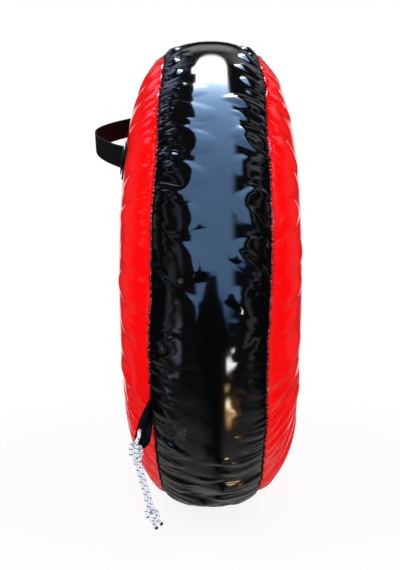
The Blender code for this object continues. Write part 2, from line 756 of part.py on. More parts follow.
def build_tab(group, cutters, vinyl):
    spot, line, outward = seam_spot()
    columns = len(TAB_BEND_SHARES)
    points = []
    for row in range(TAB_ROWS):
        t = row / (TAB_ROWS - 1)
        for column in range(columns):
            side = TAB_WIDTH * (0.5 - column / (columns - 1))
            top = spot + line * side + outward * TAB_LIFT
            bend = from_hole_shares(TAB_BEND_SHARES[column])
            low = from_hole_shares(TAB_EDGE_SHARES[column])
            points.append(top * (1 - t) ** 2 + bend * 2 * t * (1 - t) + low * t ** 2)
    index = np.arange(TAB_ROWS * columns).reshape(TAB_ROWS, columns)
    faces = np.stack([index[:-1, :-1], index[:-1, 1:], index[1:, 1:], index[1:, :-1]], -1)
    faces = faces.reshape(-1, 4).tolist()
    data = bpy.data.meshes.new("tow_tab")
    data.from_pydata(points, [], faces)
    tab = add_object("tow_tab_sheet", data, vinyl, group)
    wall = tab.modifiers.new("wall", "SOLIDIFY")
    wall.thickness = TAB_WALL
    wall.offset = 0
    wall.use_even_offset = True
    solid = add_object("tow_tab", evaluated_mesh(tab), vinyl, group, math.radians(35))
    remove(tab)
    bpy.ops.mesh.primitive_cylinder_add(vertices=VALVE_SIDES, radius=TAB_HOLE, depth=TAB_WIDTH,
                                        rotation=(math.pi / 2, 0, 0))
    punch = bpy.context.object
    punch.name = "tab_punch"
    punch.location = from_hole(0, 0, 0)
    move_to(punch, cutters)
    hide_cutter(punch)
    cut(solid, punch)
    set_origin(solid, spot)


def smooth_route(points, step):
    """Points at an even step on one smooth curve through the route's own points."""
    knots = np.array([tuple(p) for p in points])
    ends = np.vstack([2 * knots[0] - knots[1], knots, 2 * knots[-1] - knots[-2]])
    fine = []
    for p0, p1, p2, p3 in zip(ends[:-3], ends[1:-2], ends[2:-1], ends[3:]):
        t = np.linspace(0, 1, 24, endpoint=False)[:, None]
        fine.append(0.5 * (2 * p1 + (p2 - p0) * t + (2 * p0 - 5 * p1 + 4 * p2 - p3) * t ** 2
                           + (3 * p1 - p0 - 3 * p2 + p3) * t ** 3))
    fine = np.vstack(fine + [knots[-1:]])
    run = np.concatenate([[0], np.cumsum(np.linalg.norm(np.diff(fine, axis=0), axis=1))])
    count = max(2, round(run[-1] / step))
    marks = np.linspace(0, run[-1], count + 1)
    return np.column_stack([np.interp(marks, run, fine[:, i]) for i in range(3)])


def tube(name, points, diameter, detail, surface, group):
    curve = bpy.data.curves.new(name, "CURVE")
    curve.dimensions = "3D"
    curve.bevel_depth = diameter / 2
    curve.bevel_resolution = detail
    curve.use_fill_caps = True
    line = curve.splines.new("POLY")
    line.points.add(len(points) - 1)
    for point, spot in zip(line.points, points):
        point.co = (*spot, 1)
    curve.materials.append(surface)
    item = bpy.data.objects.new(name, curve)
    group.objects.link(item)
    return item


def cord_route():
    """The cord from one tip up through the tab's hole and down to the other tip."""
    pair = [np.array(from_hole(x, 0, drop)) for x, drop, turn, spread in CORD_ROUTE]
    strands = ([], [])
    for index, (x, drop, turn, spread) in enumerate(CORD_ROUTE):
        ahead = pair[min(index + 1, len(pair) - 1)] - pair[max(index - 1, 0)]
        ahead /= np.linalg.norm(ahead)
        front = np.array([0, -1.0, 0])
        left = np.cross(front, ahead)
        angle = math.radians(turn)
        side = front * math.cos(angle) + left * math.sin(angle)
        strands[0].append(pair[index] + side * spread)
        strands[1].append(pair[index] - side * spread)
    top = np.array(from_hole(0, 0, BIGHT_DROP))
    bight = []
    for degrees in (180, 135, 90, 45, 0):
        angle = math.radians(degrees)
        bight.append(top + np.array([0, math.cos(angle), math.sin(angle) - 1]) * BIGHT_RADIUS)
    return strands[0][::-1] + bight + strands[1]


def winding(ends, turns):
    """Turns of cord round the pair, as points on a helix between two places."""
    (x0, drop0), (x1, drop1) = ends
    start = np.array(from_hole(x0, 0, drop0))
    stop = np.array(from_hole(x1, 0, drop1))
    axis = (stop - start) / np.linalg.norm(stop - start)
    front = np.array([0, -1.0, 0])
    left = np.cross(front, axis)
    middle = (start + stop) / 2
    count = round(turns * 12)
    points = []
    for index in range(count + 1):
        angle = 2 * math.pi * turns * index / count
        climb = KNOT_PITCH * turns * (index / count - 0.5)
        points.append(middle + axis * climb
                      + (front * math.cos(angle) + left * math.sin(angle)) * KNOT_RADIUS)
    return points


def least_gap(points, diameter):
    """The least clear space between stretches of one tube that lie apart along it."""
    points = np.array(points)
    run = np.concatenate([[0], np.cumsum(np.linalg.norm(np.diff(points, axis=0), axis=1))])
    apart = np.abs(run[:, None] - run[None]) > 3 * diameter
    gaps = np.linalg.norm(points[:, None] - points[None], axis=2)
    return gaps[apart].min() - diameter


def build_cord(group, braid):
    routes = [("tow_cord", smooth_route(cord_route(), CORD_STEP), 2)]
    for name, (start, stop, turns) in (("upper_knot", UPPER_KNOT), ("end_knot", END_KNOT)):
        routes.append((name, winding((start, stop), turns), 1))
    for name, points, detail in routes:
        print(name, "least gap to itself:", round(1000 * least_gap(points, CORD_DIAMETER), 2), "mm")
        item = tube(name, points, CORD_DIAMETER, detail, braid, group)
        set_origin(item, from_hole(0, 0, 0))


def main():
    clear_scene()
    group = new_collection("snow_tube")
    cutters = new_collection("cutters")
    red = material("red_vinyl", (0.80, 0.01, 0.015), 0.22)
    black = material("black_vinyl", (0.012, 0.012, 0.014), 0.12)
    floor_black = material("black_floor_vinyl", (0.016, 0.016, 0.018), 0.35)
    butyl = material("butyl_rubber", (0.02, 0.02, 0.021), 0.6)
    tape = material("binding_tape", (0.018, 0.018, 0.02), 0.8)
    webbing = material("black_webbing", (0.01, 0.01, 0.012), 0.75)
    teeth = material("zip_teeth", (0.02, 0.02, 0.022), 0.35)
    zinc = material("zip_metal", (0.35, 0.35, 0.36), 0.3, 1.0)
    brass = material("valve_brass", (0.6, 0.42, 0.16), 0.3, 1.0)
    steel = material("valve_steel", (0.5, 0.5, 0.52), 0.3, 1.0)
    cap_plastic = material("cap_plastic", (0.02, 0.02, 0.02), 0.4)
    braid = material("white_braid", (0.8, 0.82, 0.85), 0.7)
    build_inner_tube(group, cutters, butyl)
    build_valve(group, cutters, butyl, brass, steel, cap_plastic)
    build_band(group, black)
    build_panels(group, red, floor_black)
    build_bindings(group, tape)
    build_zip(group, tape, teeth, zinc)
    for word, angle, rise, fullness in HANDLES:
        build_handle(word, angle, rise, fullness, group, webbing, black)
    build_tab(group, cutters, black)
    build_cord(group, braid)


main()
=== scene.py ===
import math

import bmesh
import bpy
import numpy as np
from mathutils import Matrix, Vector


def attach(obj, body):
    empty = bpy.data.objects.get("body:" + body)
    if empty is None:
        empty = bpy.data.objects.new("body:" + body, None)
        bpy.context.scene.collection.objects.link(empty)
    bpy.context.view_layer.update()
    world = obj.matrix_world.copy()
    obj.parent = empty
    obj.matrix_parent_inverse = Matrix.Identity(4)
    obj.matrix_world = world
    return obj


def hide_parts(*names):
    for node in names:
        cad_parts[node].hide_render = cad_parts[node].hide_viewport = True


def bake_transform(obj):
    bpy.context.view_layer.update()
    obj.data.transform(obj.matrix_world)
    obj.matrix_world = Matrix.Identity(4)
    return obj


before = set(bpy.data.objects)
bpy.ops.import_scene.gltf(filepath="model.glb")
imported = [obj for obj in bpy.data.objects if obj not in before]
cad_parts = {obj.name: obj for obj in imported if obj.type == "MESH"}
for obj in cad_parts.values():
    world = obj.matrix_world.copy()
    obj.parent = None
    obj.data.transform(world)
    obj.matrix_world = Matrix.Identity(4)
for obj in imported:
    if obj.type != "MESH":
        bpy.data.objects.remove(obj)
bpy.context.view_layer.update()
print("frame loaded")

# Snow tube on its rim: the axis is X, the seat side looks to -X, +Z is up.
# "turn" is an angle round the tube, 0 at -Y and rising towards +Z, and "place" is an
# angle round the tube's section, 0 at its outermost line and 90 degrees at a crest.

tube = {
    "axisHeight": 0.4385,
    "crestRadius": 0.2745,
    "halfDepth": 0.1755,
    "halfWidth": 0.1458,
    "widthPower": 0.8645,
    "depthPower": 0.9322,
    "seamPlace": 31.6,        # degrees
    "lastPlace": 122,         # degrees, where the section meets the seat's flange
    "tabTurn": -27.0,         # degrees, where the tow tab leaves the seat's seam
}
middle = np.array([0.0, 0.0, tube["axisHeight"]])
signs = {"seat": -1, "back": 1}
fullTurn = 2 * math.pi


def linear(text):
    # sRGB hex to linear: a straight part near black, then a power of 2.4
    parts = [int(text[i:i + 2], 16) / 255 for i in (1, 3, 5)]
    return [p / 12.92 if p <= 0.04045 else ((p + 0.055) / 1.055) ** 2.4 for p in parts] + [1.0]


def feed(tree, node, inputs):
    # a node's sockets take plain values, or what a node or one of its outputs gives
    for key, value in inputs.items():
        if isinstance(value, bpy.types.Node):
            value = value.outputs[0]
        if isinstance(value, bpy.types.NodeSocket):
            tree.links.new(value, node.inputs[key])
        else:
            node.inputs[key].default_value = value


def addNode(tree, kind, settings=None, inputs=None):
    node = tree.nodes.new("ShaderNode" + kind)
    for key, value in (settings or {}).items():
        setattr(node, key, value)
    feed(tree, node, inputs or {})
    return node


def startMaterial(name, values):
    finish = bpy.data.materials.new(name)
    finish.use_nodes = True
    tree = finish.node_tree
    shader = tree.nodes["Principled BSDF"]
    feed(tree, shader, values)
    return finish, tree, shader


def grainedMaterial(name, values, kind, grain, relief, settings=None):
    # one colour all over, under a relief that one texture gives: its strength and distance
    finish, tree, shader = startMaterial(name, values)
    spot = addNode(tree, "TexCoord")
    height = addNode(tree, kind, settings, {"Vector": spot.outputs["Object"], **grain})
    relief = addNode(tree, "Bump", inputs={
        "Strength": relief[0], "Distance": relief[1], "Height": height})
    feed(tree, shader, {"Normal": relief})
    return finish


# numbers
def smoothStep(value, low, high):
    # 3t² − 2t³ of the share between low and high
    share = np.clip((value - low) / (high - low), 0, 1)
    return share * share * (3 - 2 * share)


def bell(value, width):
    # exp(−(value / width)²)
    return np.exp(-(value / width) ** 2)


def signedPower(value, power):
    return np.sign(value) * np.abs(value) ** power


def offFrom(spot, value, whole=fullTurn):
    # from a spot on a circle to a value on it, the shorter way round
    return (value - spot + whole / 2) % whole - whole / 2


def together(*parts):
    # arrays that stretch to one shape, side by side in a last axis
    return np.stack(np.broadcast_arrays(*parts), -1)


def unit(ways):
    return ways / np.linalg.norm(ways, axis=-1, keepdims=True)


# meshes
def closed(grid):
    # a grid of numbers with its first column again at its end
    return np.hstack([grid, grid[:, :1]])


def quads(index, flipped=False):
    # the corners of the quads between the rows and columns of a grid of numbers
    corners = np.stack([index[:-1, :-1], index[:-1, 1:], index[1:, 1:], index[1:, :-1]], -1)
    return corners.reshape(-1, 4)[:, ::-1 if flipped else 1]


def meshFromGrid(name, points, wrapped=False, maps=None, flipped=False):
    # rows by columns of points joined into quads; a wrapped grid closes after its last column
    rows, columns = points.shape[:2]
    index = np.arange(rows * columns).reshape(rows, columns)
    if wrapped:
        index = closed(index)
    loops = quads(index, flipped).ravel().astype(np.int32)
    data = bpy.data.meshes.new(name)
    data.vertices.add(rows * columns)
    data.vertices.foreach_set("co", points.astype(np.float32).ravel())
    data.loops.add(len(loops))
    data.loops.foreach_set("vertex_index", loops)
    data.polygons.add(len(loops) // 4)
    data.polygons.foreach_set("loop_start", np.arange(0, len(loops), 4, dtype=np.int32))
    data.update(calc_edges=True)
    if maps is not None:
        layer = data.uv_layers.new(name="surface")
        spread = np.arange(index.size).reshape(index.shape)
        flat = maps.reshape(-1, 2)[quads(spread, flipped).ravel()]
        layer.data.foreach_set("uv", flat.astype(np.float32).ravel())
    data.shade_smooth()
    return data


def reworked(data, change):
    # a mesh after a change made to it as a bmesh
    shape = bmesh.new()
    shape.from_mesh(data)
    change(shape)
    shape.to_mesh(data)
    shape.free()
    data.shade_smooth()
    return data


def mergePoles(data, reach=1e-6):
    # rows that were drawn together into one point become that point
    def change(shape):
        bmesh.ops.remove_doubles(shape, verts=shape.verts, dist=reach)
        bmesh.ops.dissolve_degenerate(shape, edges=shape.edges, dist=reach)
    return reworked(data, change)


def addPiece(data, finish, body):
    # a piece named as its mesh is
    piece = bpy.data.objects.new(data.name, data)
    bpy.context.scene.collection.objects.link(piece)
    data.materials.append(finish)
    if body:
        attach(piece, body)
    return piece


def addWall(piece, thickness, even=False):
    # half of the thickness on each side of the sheet
    wall = piece.modifiers.new("wall", "SOLIDIFY")
    wall.thickness = thickness
    wall.offset = 0
    wall.use_even_offset = even


# lines
def arcLengths(line):
    # the length along a line up to each of its points
    return np.concatenate([[0], np.cumsum(np.linalg.norm(np.diff(line, axis=0), axis=1))])


def atLengths(line, marks):
    run = arcLengths(line)
    return np.column_stack([np.interp(marks, run, values) for values in line.T])


def smoothLine(points, step):
    # a Catmull-Rom curve through the points, resampled at an even step
    knots = np.array(points, float)
    ends = np.vstack([2 * knots[0] - knots[1], knots, 2 * knots[-1] - knots[-2]])
    t = np.linspace(0, 1, 24, endpoint=False)[None, :, None]
    p0, p1, p2, p3 = (ends[i:len(ends) - 3 + i][:, None] for i in range(4))
    fine = 0.5 * (2 * p1 + (p2 - p0) * t + (2 * p0 - 5 * p1 + 4 * p2 - p3) * t ** 2
                  + (3 * p1 - p0 - 3 * p2 + p3) * t ** 3)
    fine = np.vstack([fine.reshape(-1, 3), knots[-1:]])
    total = arcLengths(fine)[-1]
    return atLengths(fine, np.linspace(0, total, max(3, round(total / step) + 1)))


def lineFrames(line):
    # unit vectors along a line and two across it, carried along without twisting
    ahead = unit(np.gradient(line, axis=0))
    across = np.empty_like(line)
    side = np.cross(ahead[0], [0.0, -1.0, 0.3])
    for i, way in enumerate(ahead):
        side = unit(side - way * np.dot(side, way))
        across[i] = side
    return ahead, across, np.cross(ahead, across)


# camera
view = {
    "spot": (0.0, -1.2964, 0.4353),
    "lens": 39.61,
    "shift": (-0.01854, -0.02528),
    "tilt": 0.0059,
    "nearest": 0.01,
}
eye = bpy.data.cameras.new("camera")
eye.lens = view["lens"]
eye.shift_x, eye.shift_y = view["shift"]
eye.clip_start = view["nearest"]
camera = bpy.data.objects.new("camera", eye)
camera.location = view["spot"]
camera.rotation_euler = (math.pi / 2 + view["tilt"], 0, 0)
bpy.context.scene.collection.objects.link(camera)
bpy.context.scene.camera = camera
bpy.context.scene.view_settings.view_transform = "Standard"


# cord
cord = {
    "diameter": 0.005,
    "hole": (-0.10269, -0.38904, 0.20897),   # middle of the tab's hole
    "bightRadius": 0.0039,
    "bightDrop": 0.0002,
    # along X from the hole, drop below it, turn of the pair in degrees, half its spread
    "route": (
        (-0.0007, 0.0075, 0, 0.0039), (-0.0039, 0.0155, 0, 0.0033),
        (-0.0061, 0.0235, 25, 0.0028), (-0.0056, 0.0325, 60, 0.0028),
        (-0.0043, 0.0415, 90, 0.0028), (-0.0011, 0.0515, 90, 0.0028),
        (0.0029, 0.0655, 90, 0.0028), (0.0075, 0.0815, 90, 0.0028),
        (0.0121, 0.0975, 90, 0.0028), (0.0161, 0.1115, 90, 0.0028),
        (0.0187, 0.1205, 90, 0.0028), (0.0215, 0.1275, 90, 0.0031),
        (0.0252, 0.1330, 90, 0.0040), (0.0288, 0.1375, 90, 0.0048),
    ),
    # piece, node, its two ends as along and drop, width, windings and first angle
    "knots": (
        ("upperKnot", "upper_knot", ((-0.0048, 0.0165), (-0.0052, 0.0405)), 0.0215, 3.4, 0.4),
        ("endKnot", "end_knot", ((0.0160, 0.1125), (0.0212, 0.1275)), 0.0205, 2.3, 2.0),
    ),
    "knotWaist": 0.62,        # of a knot's radius, at its two ends
    "knotTilt": 0.0030,
    "sides": 20,
    "step": 0.0008,
    # rings that close an end: how far out, as a share of the cap's reach, and how wide
    "cap": ((0.55, 0.82), (0.85, 0.5), (1.0, 0.0)),
    "tipReach": 0.28,         # of the diameter, that a strand's cap stands out
    "knotReach": 0.5,
    "sealed": 0.0042,         # of each tip, melted dark
    "pathEvery": 6,
}
hole = np.array(cord["hole"])
front = np.array([0, -1.0, 0])


def fromHole(along, drop):
    return hole + np.array([along, 0, -drop])


def roundCord(name, line, reach):
    # circles carried along the line; the last rings draw in to close both ends,
    # and the map holds millimetres along the cord and the share round it
    size, sides = cord["diameter"], cord["sides"]
    ahead, across, up = lineFrames(line)
    angle = np.linspace(0, fullTurn, sides, endpoint=False)[None, :, None]
    ring = np.cos(angle) * across[:, None] + np.sin(angle) * up[:, None]
    first, last = ([line[at] + way * ahead[at] * out * size * reach + ring[at] * narrow * size / 2
                    for out, narrow in cord["cap"]] for at, way in ((0, -1), (-1, 1)))
    points = np.concatenate([first[::-1], line[:, None] + ring * (size / 2), last])
    run = arcLengths(line) * 1000
    along = np.concatenate([[-3, -2, -1], run, run[-1] + np.array([1, 2, 3])])
    maps = together(along[:, None], np.linspace(0, 1, sides + 1)[None])
    return mergePoles(meshFromGrid(name, points, wrapped=True, maps=maps, flipped=True))


def pairLines():
    # the two strands that hang from the hole, each from the bight's top to its tip
    along, drop, turn, spread = np.array(cord["route"]).T[..., None]
    middleLine = hole + np.hstack([along, np.zeros_like(along), -drop])
    left = np.cross(front, unit(np.gradient(middleLine, axis=0)))
    side = front * np.cos(np.radians(turn)) + left * np.sin(np.radians(turn))
    top = fromHole(0, cord["bightDrop"])
    strands = []
    for way in (1, -1):
        bend = [top + cord["bightRadius"] * np.array([0, -way * math.sin(a), math.cos(a) - 1])
                for a in np.radians([0, 30, 60, 90])]
        points = np.vstack([bend, middleLine + way * side * spread])
        strands.append(smoothLine(points, cord["step"]))
    return strands


def knotLine(ends, width, windings, lean):
    # a cord wound round the pair: a helix whose radius swells in the middle of the knot as
    # waist + (1 − waist)·√sin(π·t), tucked in at both ends
    low, high = (fromHole(*end) for end in ends)
    axis = unit(high - low)
    left = np.cross(front, axis)
    t = np.linspace(0, 1, int(windings * 40))
    angle = fullTurn * windings * t + lean
    waist = cord["knotWaist"]
    swell = waist + (1 - waist) * np.sin(math.pi * np.clip(t, 0.02, 0.98)) ** 0.5
    radius = (width - cord["diameter"]) / 2 * swell
    climb = (t - 0.5) * (np.linalg.norm(high - low) - cord["diameter"])
    climb = climb + cord["knotTilt"] * np.sin(angle + 0.8)
    return smoothLine((low + high) / 2 + axis * climb[:, None]
                      + front * (radius * np.cos(angle))[:, None]
                      + left * (radius * np.sin(angle))[:, None], cord["step"])


def braidMaterial():
    # polyester braid of fine filament: soft white with a satin gleam, navy tracer dashes
    # that run slanting round it, and pale blue painted shade between the plaits. Its 16 plaits are
    # drawn as four rows each way, coarse enough to show
    look = {"white": "#f8fbff", "shade": "#a3bbe6", "tracer": "#0d1740",
            "plait": 1.7, "tracerStep": 9.0, "plaits": 4}   # steps in millimetres
    finish, tree, shader = startMaterial("polyesterBraid", {
        "Roughness": 0.62, "Sheen Weight": 0.35, "Sheen Roughness": 0.4})
    spot = addNode(tree, "UVMap", {"uv_map": "surface"})
    split = addNode(tree, "SeparateXYZ", inputs={0: spot})
    along, share = split.outputs[0], split.outputs[1]

    def wave(alongStep, roundCount):
        # one set of plaits: sine of along / step ± share round · count
        first = addNode(tree, "Math", {"operation": "MULTIPLY"},
                        {0: along, 1: fullTurn / alongStep})
        second = addNode(tree, "Math", {"operation": "MULTIPLY_ADD"},
                         {0: share, 1: fullTurn * roundCount, 2: first})
        return addNode(tree, "Math", {"operation": "SINE"}, {0: second})
    leftPlait, rightPlait = (wave(look["plait"] * 2, way * look["plaits"]) for way in (1, -1))
    weave = addNode(tree, "Math", {"operation": "MULTIPLY"},
                    {0: leftPlait, 1: rightPlait})
    # painted shade: where the two sets of plaits dip, the white is mixed up to halfway to pale blue
    shade = addNode(tree, "MapRange", inputs={
        0: weave, 1: -0.9, 2: 0.1, 3: 0.5, 4: 0.0})
    ground = addNode(tree, "Mix", {"data_type": "RGBA"}, {
        0: shade, 6: linear(look["white"]), 7: linear(look["shade"])})
    # tracer rows wind once round the cord for each step, broken into four dashes
    row = addNode(tree, "Math", {"operation": "MULTIPLY_ADD"},
                  {0: along, 1: 1 / look["tracerStep"], 2: share})
    place = addNode(tree, "Math", {"operation": "PINGPONG"}, {0: row, 1: 0.5})
    line = addNode(tree, "MapRange", inputs={
        0: place, 1: 0.085, 2: 0.125, 3: 1.0, 4: 0.0})
    dash = wave(look["tracerStep"] * 3, look["plaits"])
    broken = addNode(tree, "MapRange", inputs={
        0: dash, 1: -0.5, 2: -0.2, 3: 0.0, 4: 1.0})
    edge = addNode(tree, "Math", {"operation": "MULTIPLY"},
                   {0: line, 1: broken})
    marked = addNode(tree, "Mix", {"data_type": "RGBA"}, {
        0: edge, 6: ground.outputs[2], 7: linear(look["tracer"])})
    relief = addNode(tree, "Bump", inputs={
        "Strength": 0.6, "Distance": 0.0004, "Height": weave})
    feed(tree, shader, {"Base Color": marked.outputs[2], "Normal": relief})
    return finish


def makeCord():
    braid = braidMaterial()
    # melted polyester: the braid's cut ends fuse to a hard dark bead with a dull gloss
    seal = grainedMaterial("meltedPolyester", {"Base Color": linear("#2c3340"), "Roughness": 0.38},
                           "TexNoise", {"Scale": 900.0, "Detail": 2.0}, (0.5, 0.0003))
    for name, node, *shape in cord["knots"]:
        knot = addPiece(roundCord(name, knotLine(*shape), cord["knotReach"]), braid, "cord")
        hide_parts(node)
    for name, line in zip(("frontStrand", "rearStrand"), pairLines()):
        strand = addPiece(roundCord(name, line, cord["tipReach"]), braid, "cord")
        strand.data.materials.append(seal)
        centres = np.empty(len(strand.data.polygons) * 3)
        strand.data.polygons.foreach_get("center", centres)
        far = np.linalg.norm(centres.reshape(-1, 3) - line[-1], axis=1)
        marks = (far < cord["sealed"]).astype(np.int32)
        strand.data.polygons.foreach_set("material_index", marks)
    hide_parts("tow_cord")
    print("cord made")


makeCord()


# the cover's section
def sectionCurve(degrees):
    # an ellipse with fuller shoulders: half width · sin^power along the axis, and
    # crest radius + half depth · cos^power out from it
    angle = np.radians(degrees)
    across = signedPower(np.sin(angle), tube["widthPower"])
    deep = signedPower(np.cos(angle), tube["depthPower"])
    return np.column_stack([tube["halfWidth"] * across,
                            tube["crestRadius"] + tube["halfDepth"] * deep])


def softened(profile, reach, step=0.0005):
    # a profile at even steps whose corners are averaged over the reach
    even = atLengths(profile, np.arange(0, arcLengths(profile)[-1], step))
    count = int(reach / step)
    before = 2 * even[0] - even[count:0:-1]
    after = 2 * even[-1] - even[-2:-count - 2:-1]
    kernel = np.hanning(2 * count + 3)[1:-1]
    kernel /= kernel.sum()
    return np.column_stack([np.convolve(values, kernel, "valid")
                            for values in np.vstack([before, even, after]).T])


flange = {
    "height": 0.1147,
    "outer": 0.158,
    "inner": 0.138,
    "softness": 0.010,        # over which the section turns into the flange
}
places = np.linspace(0, tube["lastPlace"], 1500)
sectionSteps = sectionCurve(places)
seamArc = float(np.interp(tube["seamPlace"], places, arcLengths(sectionSteps)))
crestPart = sectionSteps[np.argsort(sectionSteps[:, 1])]


def panelProfile(innerRadius):
    flat = np.array([[flange["height"], flange["outer"]], [flange["height"], innerRadius]])
    return softened(np.vstack([sectionSteps, flat]), flange["softness"])


def onProfile(profile, arc):
    # place along the axis, radius, and the outward direction at a length along a profile
    lengths = arcLengths(profile)
    slope = unit(np.gradient(profile, lengths, axis=0))
    return [np.interp(arc, lengths, values) for values in
            (profile[:, 0], profile[:, 1], -slope[:, 1], slope[:, 0])]


def clothHeight(run, wide):
    # how far the smooth side stands from the middle plane, at a run beside the crest and a
    # place across it
    radius = np.hypot(tube["crestRadius"] + wide, run)
    return np.interp(radius, crestPart[:, 1], crestPart[:, 0])


# pleats
# Degrees round the tube at which broad fans of creases and single creases meet each seam in
# view. The rest are drawn evenly
pleats = {
    "seatFans": (56, 49, 42.5, 36, 29.5, 21.6, 14.0, 7.5, -1.5, -10, -17.5, -24.5, -31, -38, -46,
                 -54),
    "backFans": (56, 50, 44, 38, 31, 23.4, 15.5, 6.5, -1.9, -9.1, -16.5, -24, -31.5, -39, -47,
                 -56),
    "seatSeam": (55.1, 49.0, 43.5, 38.7, 35.2, 31.7, 27.7, 24.1, 21.8, 19.2, 17.1, 13.0, 9.5,
                 6.2, 2.5, -2.2, -5.6, -9.4, -12.4, -15.4, -17.9, -20.7, -25.2, -29.7, -35.1,
                 -39.3, -43.0, -46.4, -49.9, -54.1, -60.2),
    "backSeam": (56.7, 50.0, 44.3, 39.4, 36.4, 32.2, 29.0, 22.3, 19.2, 17.1, 12.4, 6.0, 2.8,
                 -0.3, -3.7, -7.9, -11.4, -14.4, -20.0, -25.2, -30.3, -34.5, -39.3, -43.0,
                 -47.8, -54.9, -67.2),
    # degrees round, and millimetres that the seam lies further out from the band's middle
    "seatWander": ((56.7, -7.2), (45.2, -8.7), (37.7, -4.9), (26.5, -7.8), (17.5, -5.1),
                   (13.4, -1.8), (5.7, 0.0), (-5.6, 0.0), (-13.4, 5.3), (-21.8, 5.7),
                   (-26.4, 5.1), (-31.6, 1.7), (-41.1, 0.6), (-71.0, -2.3)),
    "backWander": ((56.7, -2.7), (45.2, 4.3), (37.7, 1.0), (26.5, 0.0), (21.8, 3.4),
                   (13.4, 2.8), (5.7, 3.8), (-5.6, 0.3), (-13.4, -3.3), (-21.8, -3.0),
                   (-26.4, -2.0), (-31.6, 0.0), (-37.6, -1.3), (-56.4, 1.1)),
    # of each layer of fingers: height in widths, length in metres and in widths, the share of
    # its height that a finger has at the seam, how much more it swells near the top and the
    # ground, how much all of that varies, and the width past which it grows no longer
    "seatCoarse": {"height": 0.080, "long": 0.089, "reach": 0.12, "root": 0.05, "gain": -0.7,
                   "spread": 0.10},
    "backCoarse": {"height": 0.070, "long": 0.060, "reach": 0.12, "root": 0.05, "gain": -0.7,
                   "spread": 0.16},
    "middle": {"height": 0.034, "long": 0.0, "reach": 2.0, "root": 0.6, "gain": 2.3,
               "spread": 0.5, "broadest": 0.030},
    "fine": {"height": 0.020, "long": 0.0, "reach": 2.7, "root": 0.9, "gain": 3.6,
             "spread": 0.5, "broadest": 0.030},
    "panel": {"height": 0.050, "long": 0.0, "reach": 2.2, "root": 0.5, "gain": 0.0,
              "spread": 0.45},
    "panelMiddle": {"height": 0.030, "long": 0.0, "reach": 2.4, "root": 0.9, "gain": 1.0,
                    "spread": 0.6},
    "panelFine": {"height": 0.032, "long": 0.0, "reach": 1.2, "root": 1.0, "gain": 0.5,
                  "spread": 0.6},
    # where creases gather to one point of the seam, in degrees
    "seatGathers": (3.1, -9.8, 14.0, 21.6, -17.5, -31.0, 36.0, 140.0, 200.0, 250.0),
    "backGathers": (6.5, -1.9, -9.1, 23.4, -24.0, 38.0, -39.0, 120.0, 170.0, 230.0),
    # of the creases' waver: waves away from the seam and round it, radians, ease in metres
    "waver": (95, 11, 0.004, 0.03),
    "rootReach": 0.004,
    "gatherWidth": 0.096,     # radians
    "gatherReach": 0.030,
    # creases out of view: kind, least and most degrees apart, seeds of the seat and the back
    "spacing": (("Fans", 6.0, 9.0, 11, 13), ("Seam", 2.6, 5.4, 15, 16), ("Fine", 1.1, 2.3, 12, 14)),
    "restWander": 3.5,        # millimetres, out of view
    "fade": 12,               # degrees, into what is out of view
    "radius": 0.42,           # of the gathered cloth, about
    "foldRadius": 430,        # millimetres
    "teeth": 500,
    "ragged": 1.3,            # millimetres
    "seamSink": 0.0010,
    "swell": 0.0012,
    "swellReach": 0.007,
    # strong folds: seam, degrees at the seam and at the far end, mm long, mm wide, mm high
    "folds": (("back", 22.6, 26.0, 52, 6.5, 2.4), ("back", -0.8, 4.2, 62, 6.5, 2.4),
              ("back", -21.0, -23.6, 56, 7.0, 2.0), ("back", 8.4, 12.0, 44, 8.0, 1.8),
              ("back", 14.5, 16.5, 46, 7.0, 1.6), ("back", -11.0, -16.0, 52, 8.0, 1.8),
              ("seat", 1.8, -4.2, 50, 7.0, 0.8), ("seat", 16.5, 14.0, 56, 8.0, 2.4),
              ("seat", -33.5, -37.6, 56, 5.0, 2.2), ("seat", -24.4, -25.4, 52, 6.5, 1.6),
              ("seat", 24.0, 21.0, 52, 8.0, 2.4), ("seat", -16.0, -14.6, 48, 7.0, 1.6)),
    "columns": 1500,
}


def creaseRing(seen, least, most, seed):
    # the creases in view, and between the last and the first of them steps drawn evenly
    # between least and most degrees, scaled so that the ring closes
    chance = np.random.default_rng(seed)
    seen = np.sort(np.array(seen or (0.0,)))
    gap = 360 - (seen[-1] - seen[0])
    steps = chance.uniform(least, most, max(2, round(gap / ((least + most) / 2))))
    steps *= gap / steps.sum()
    return np.sort(np.concatenate([seen, seen[-1] + np.cumsum(steps)[:-1]]) % 360)


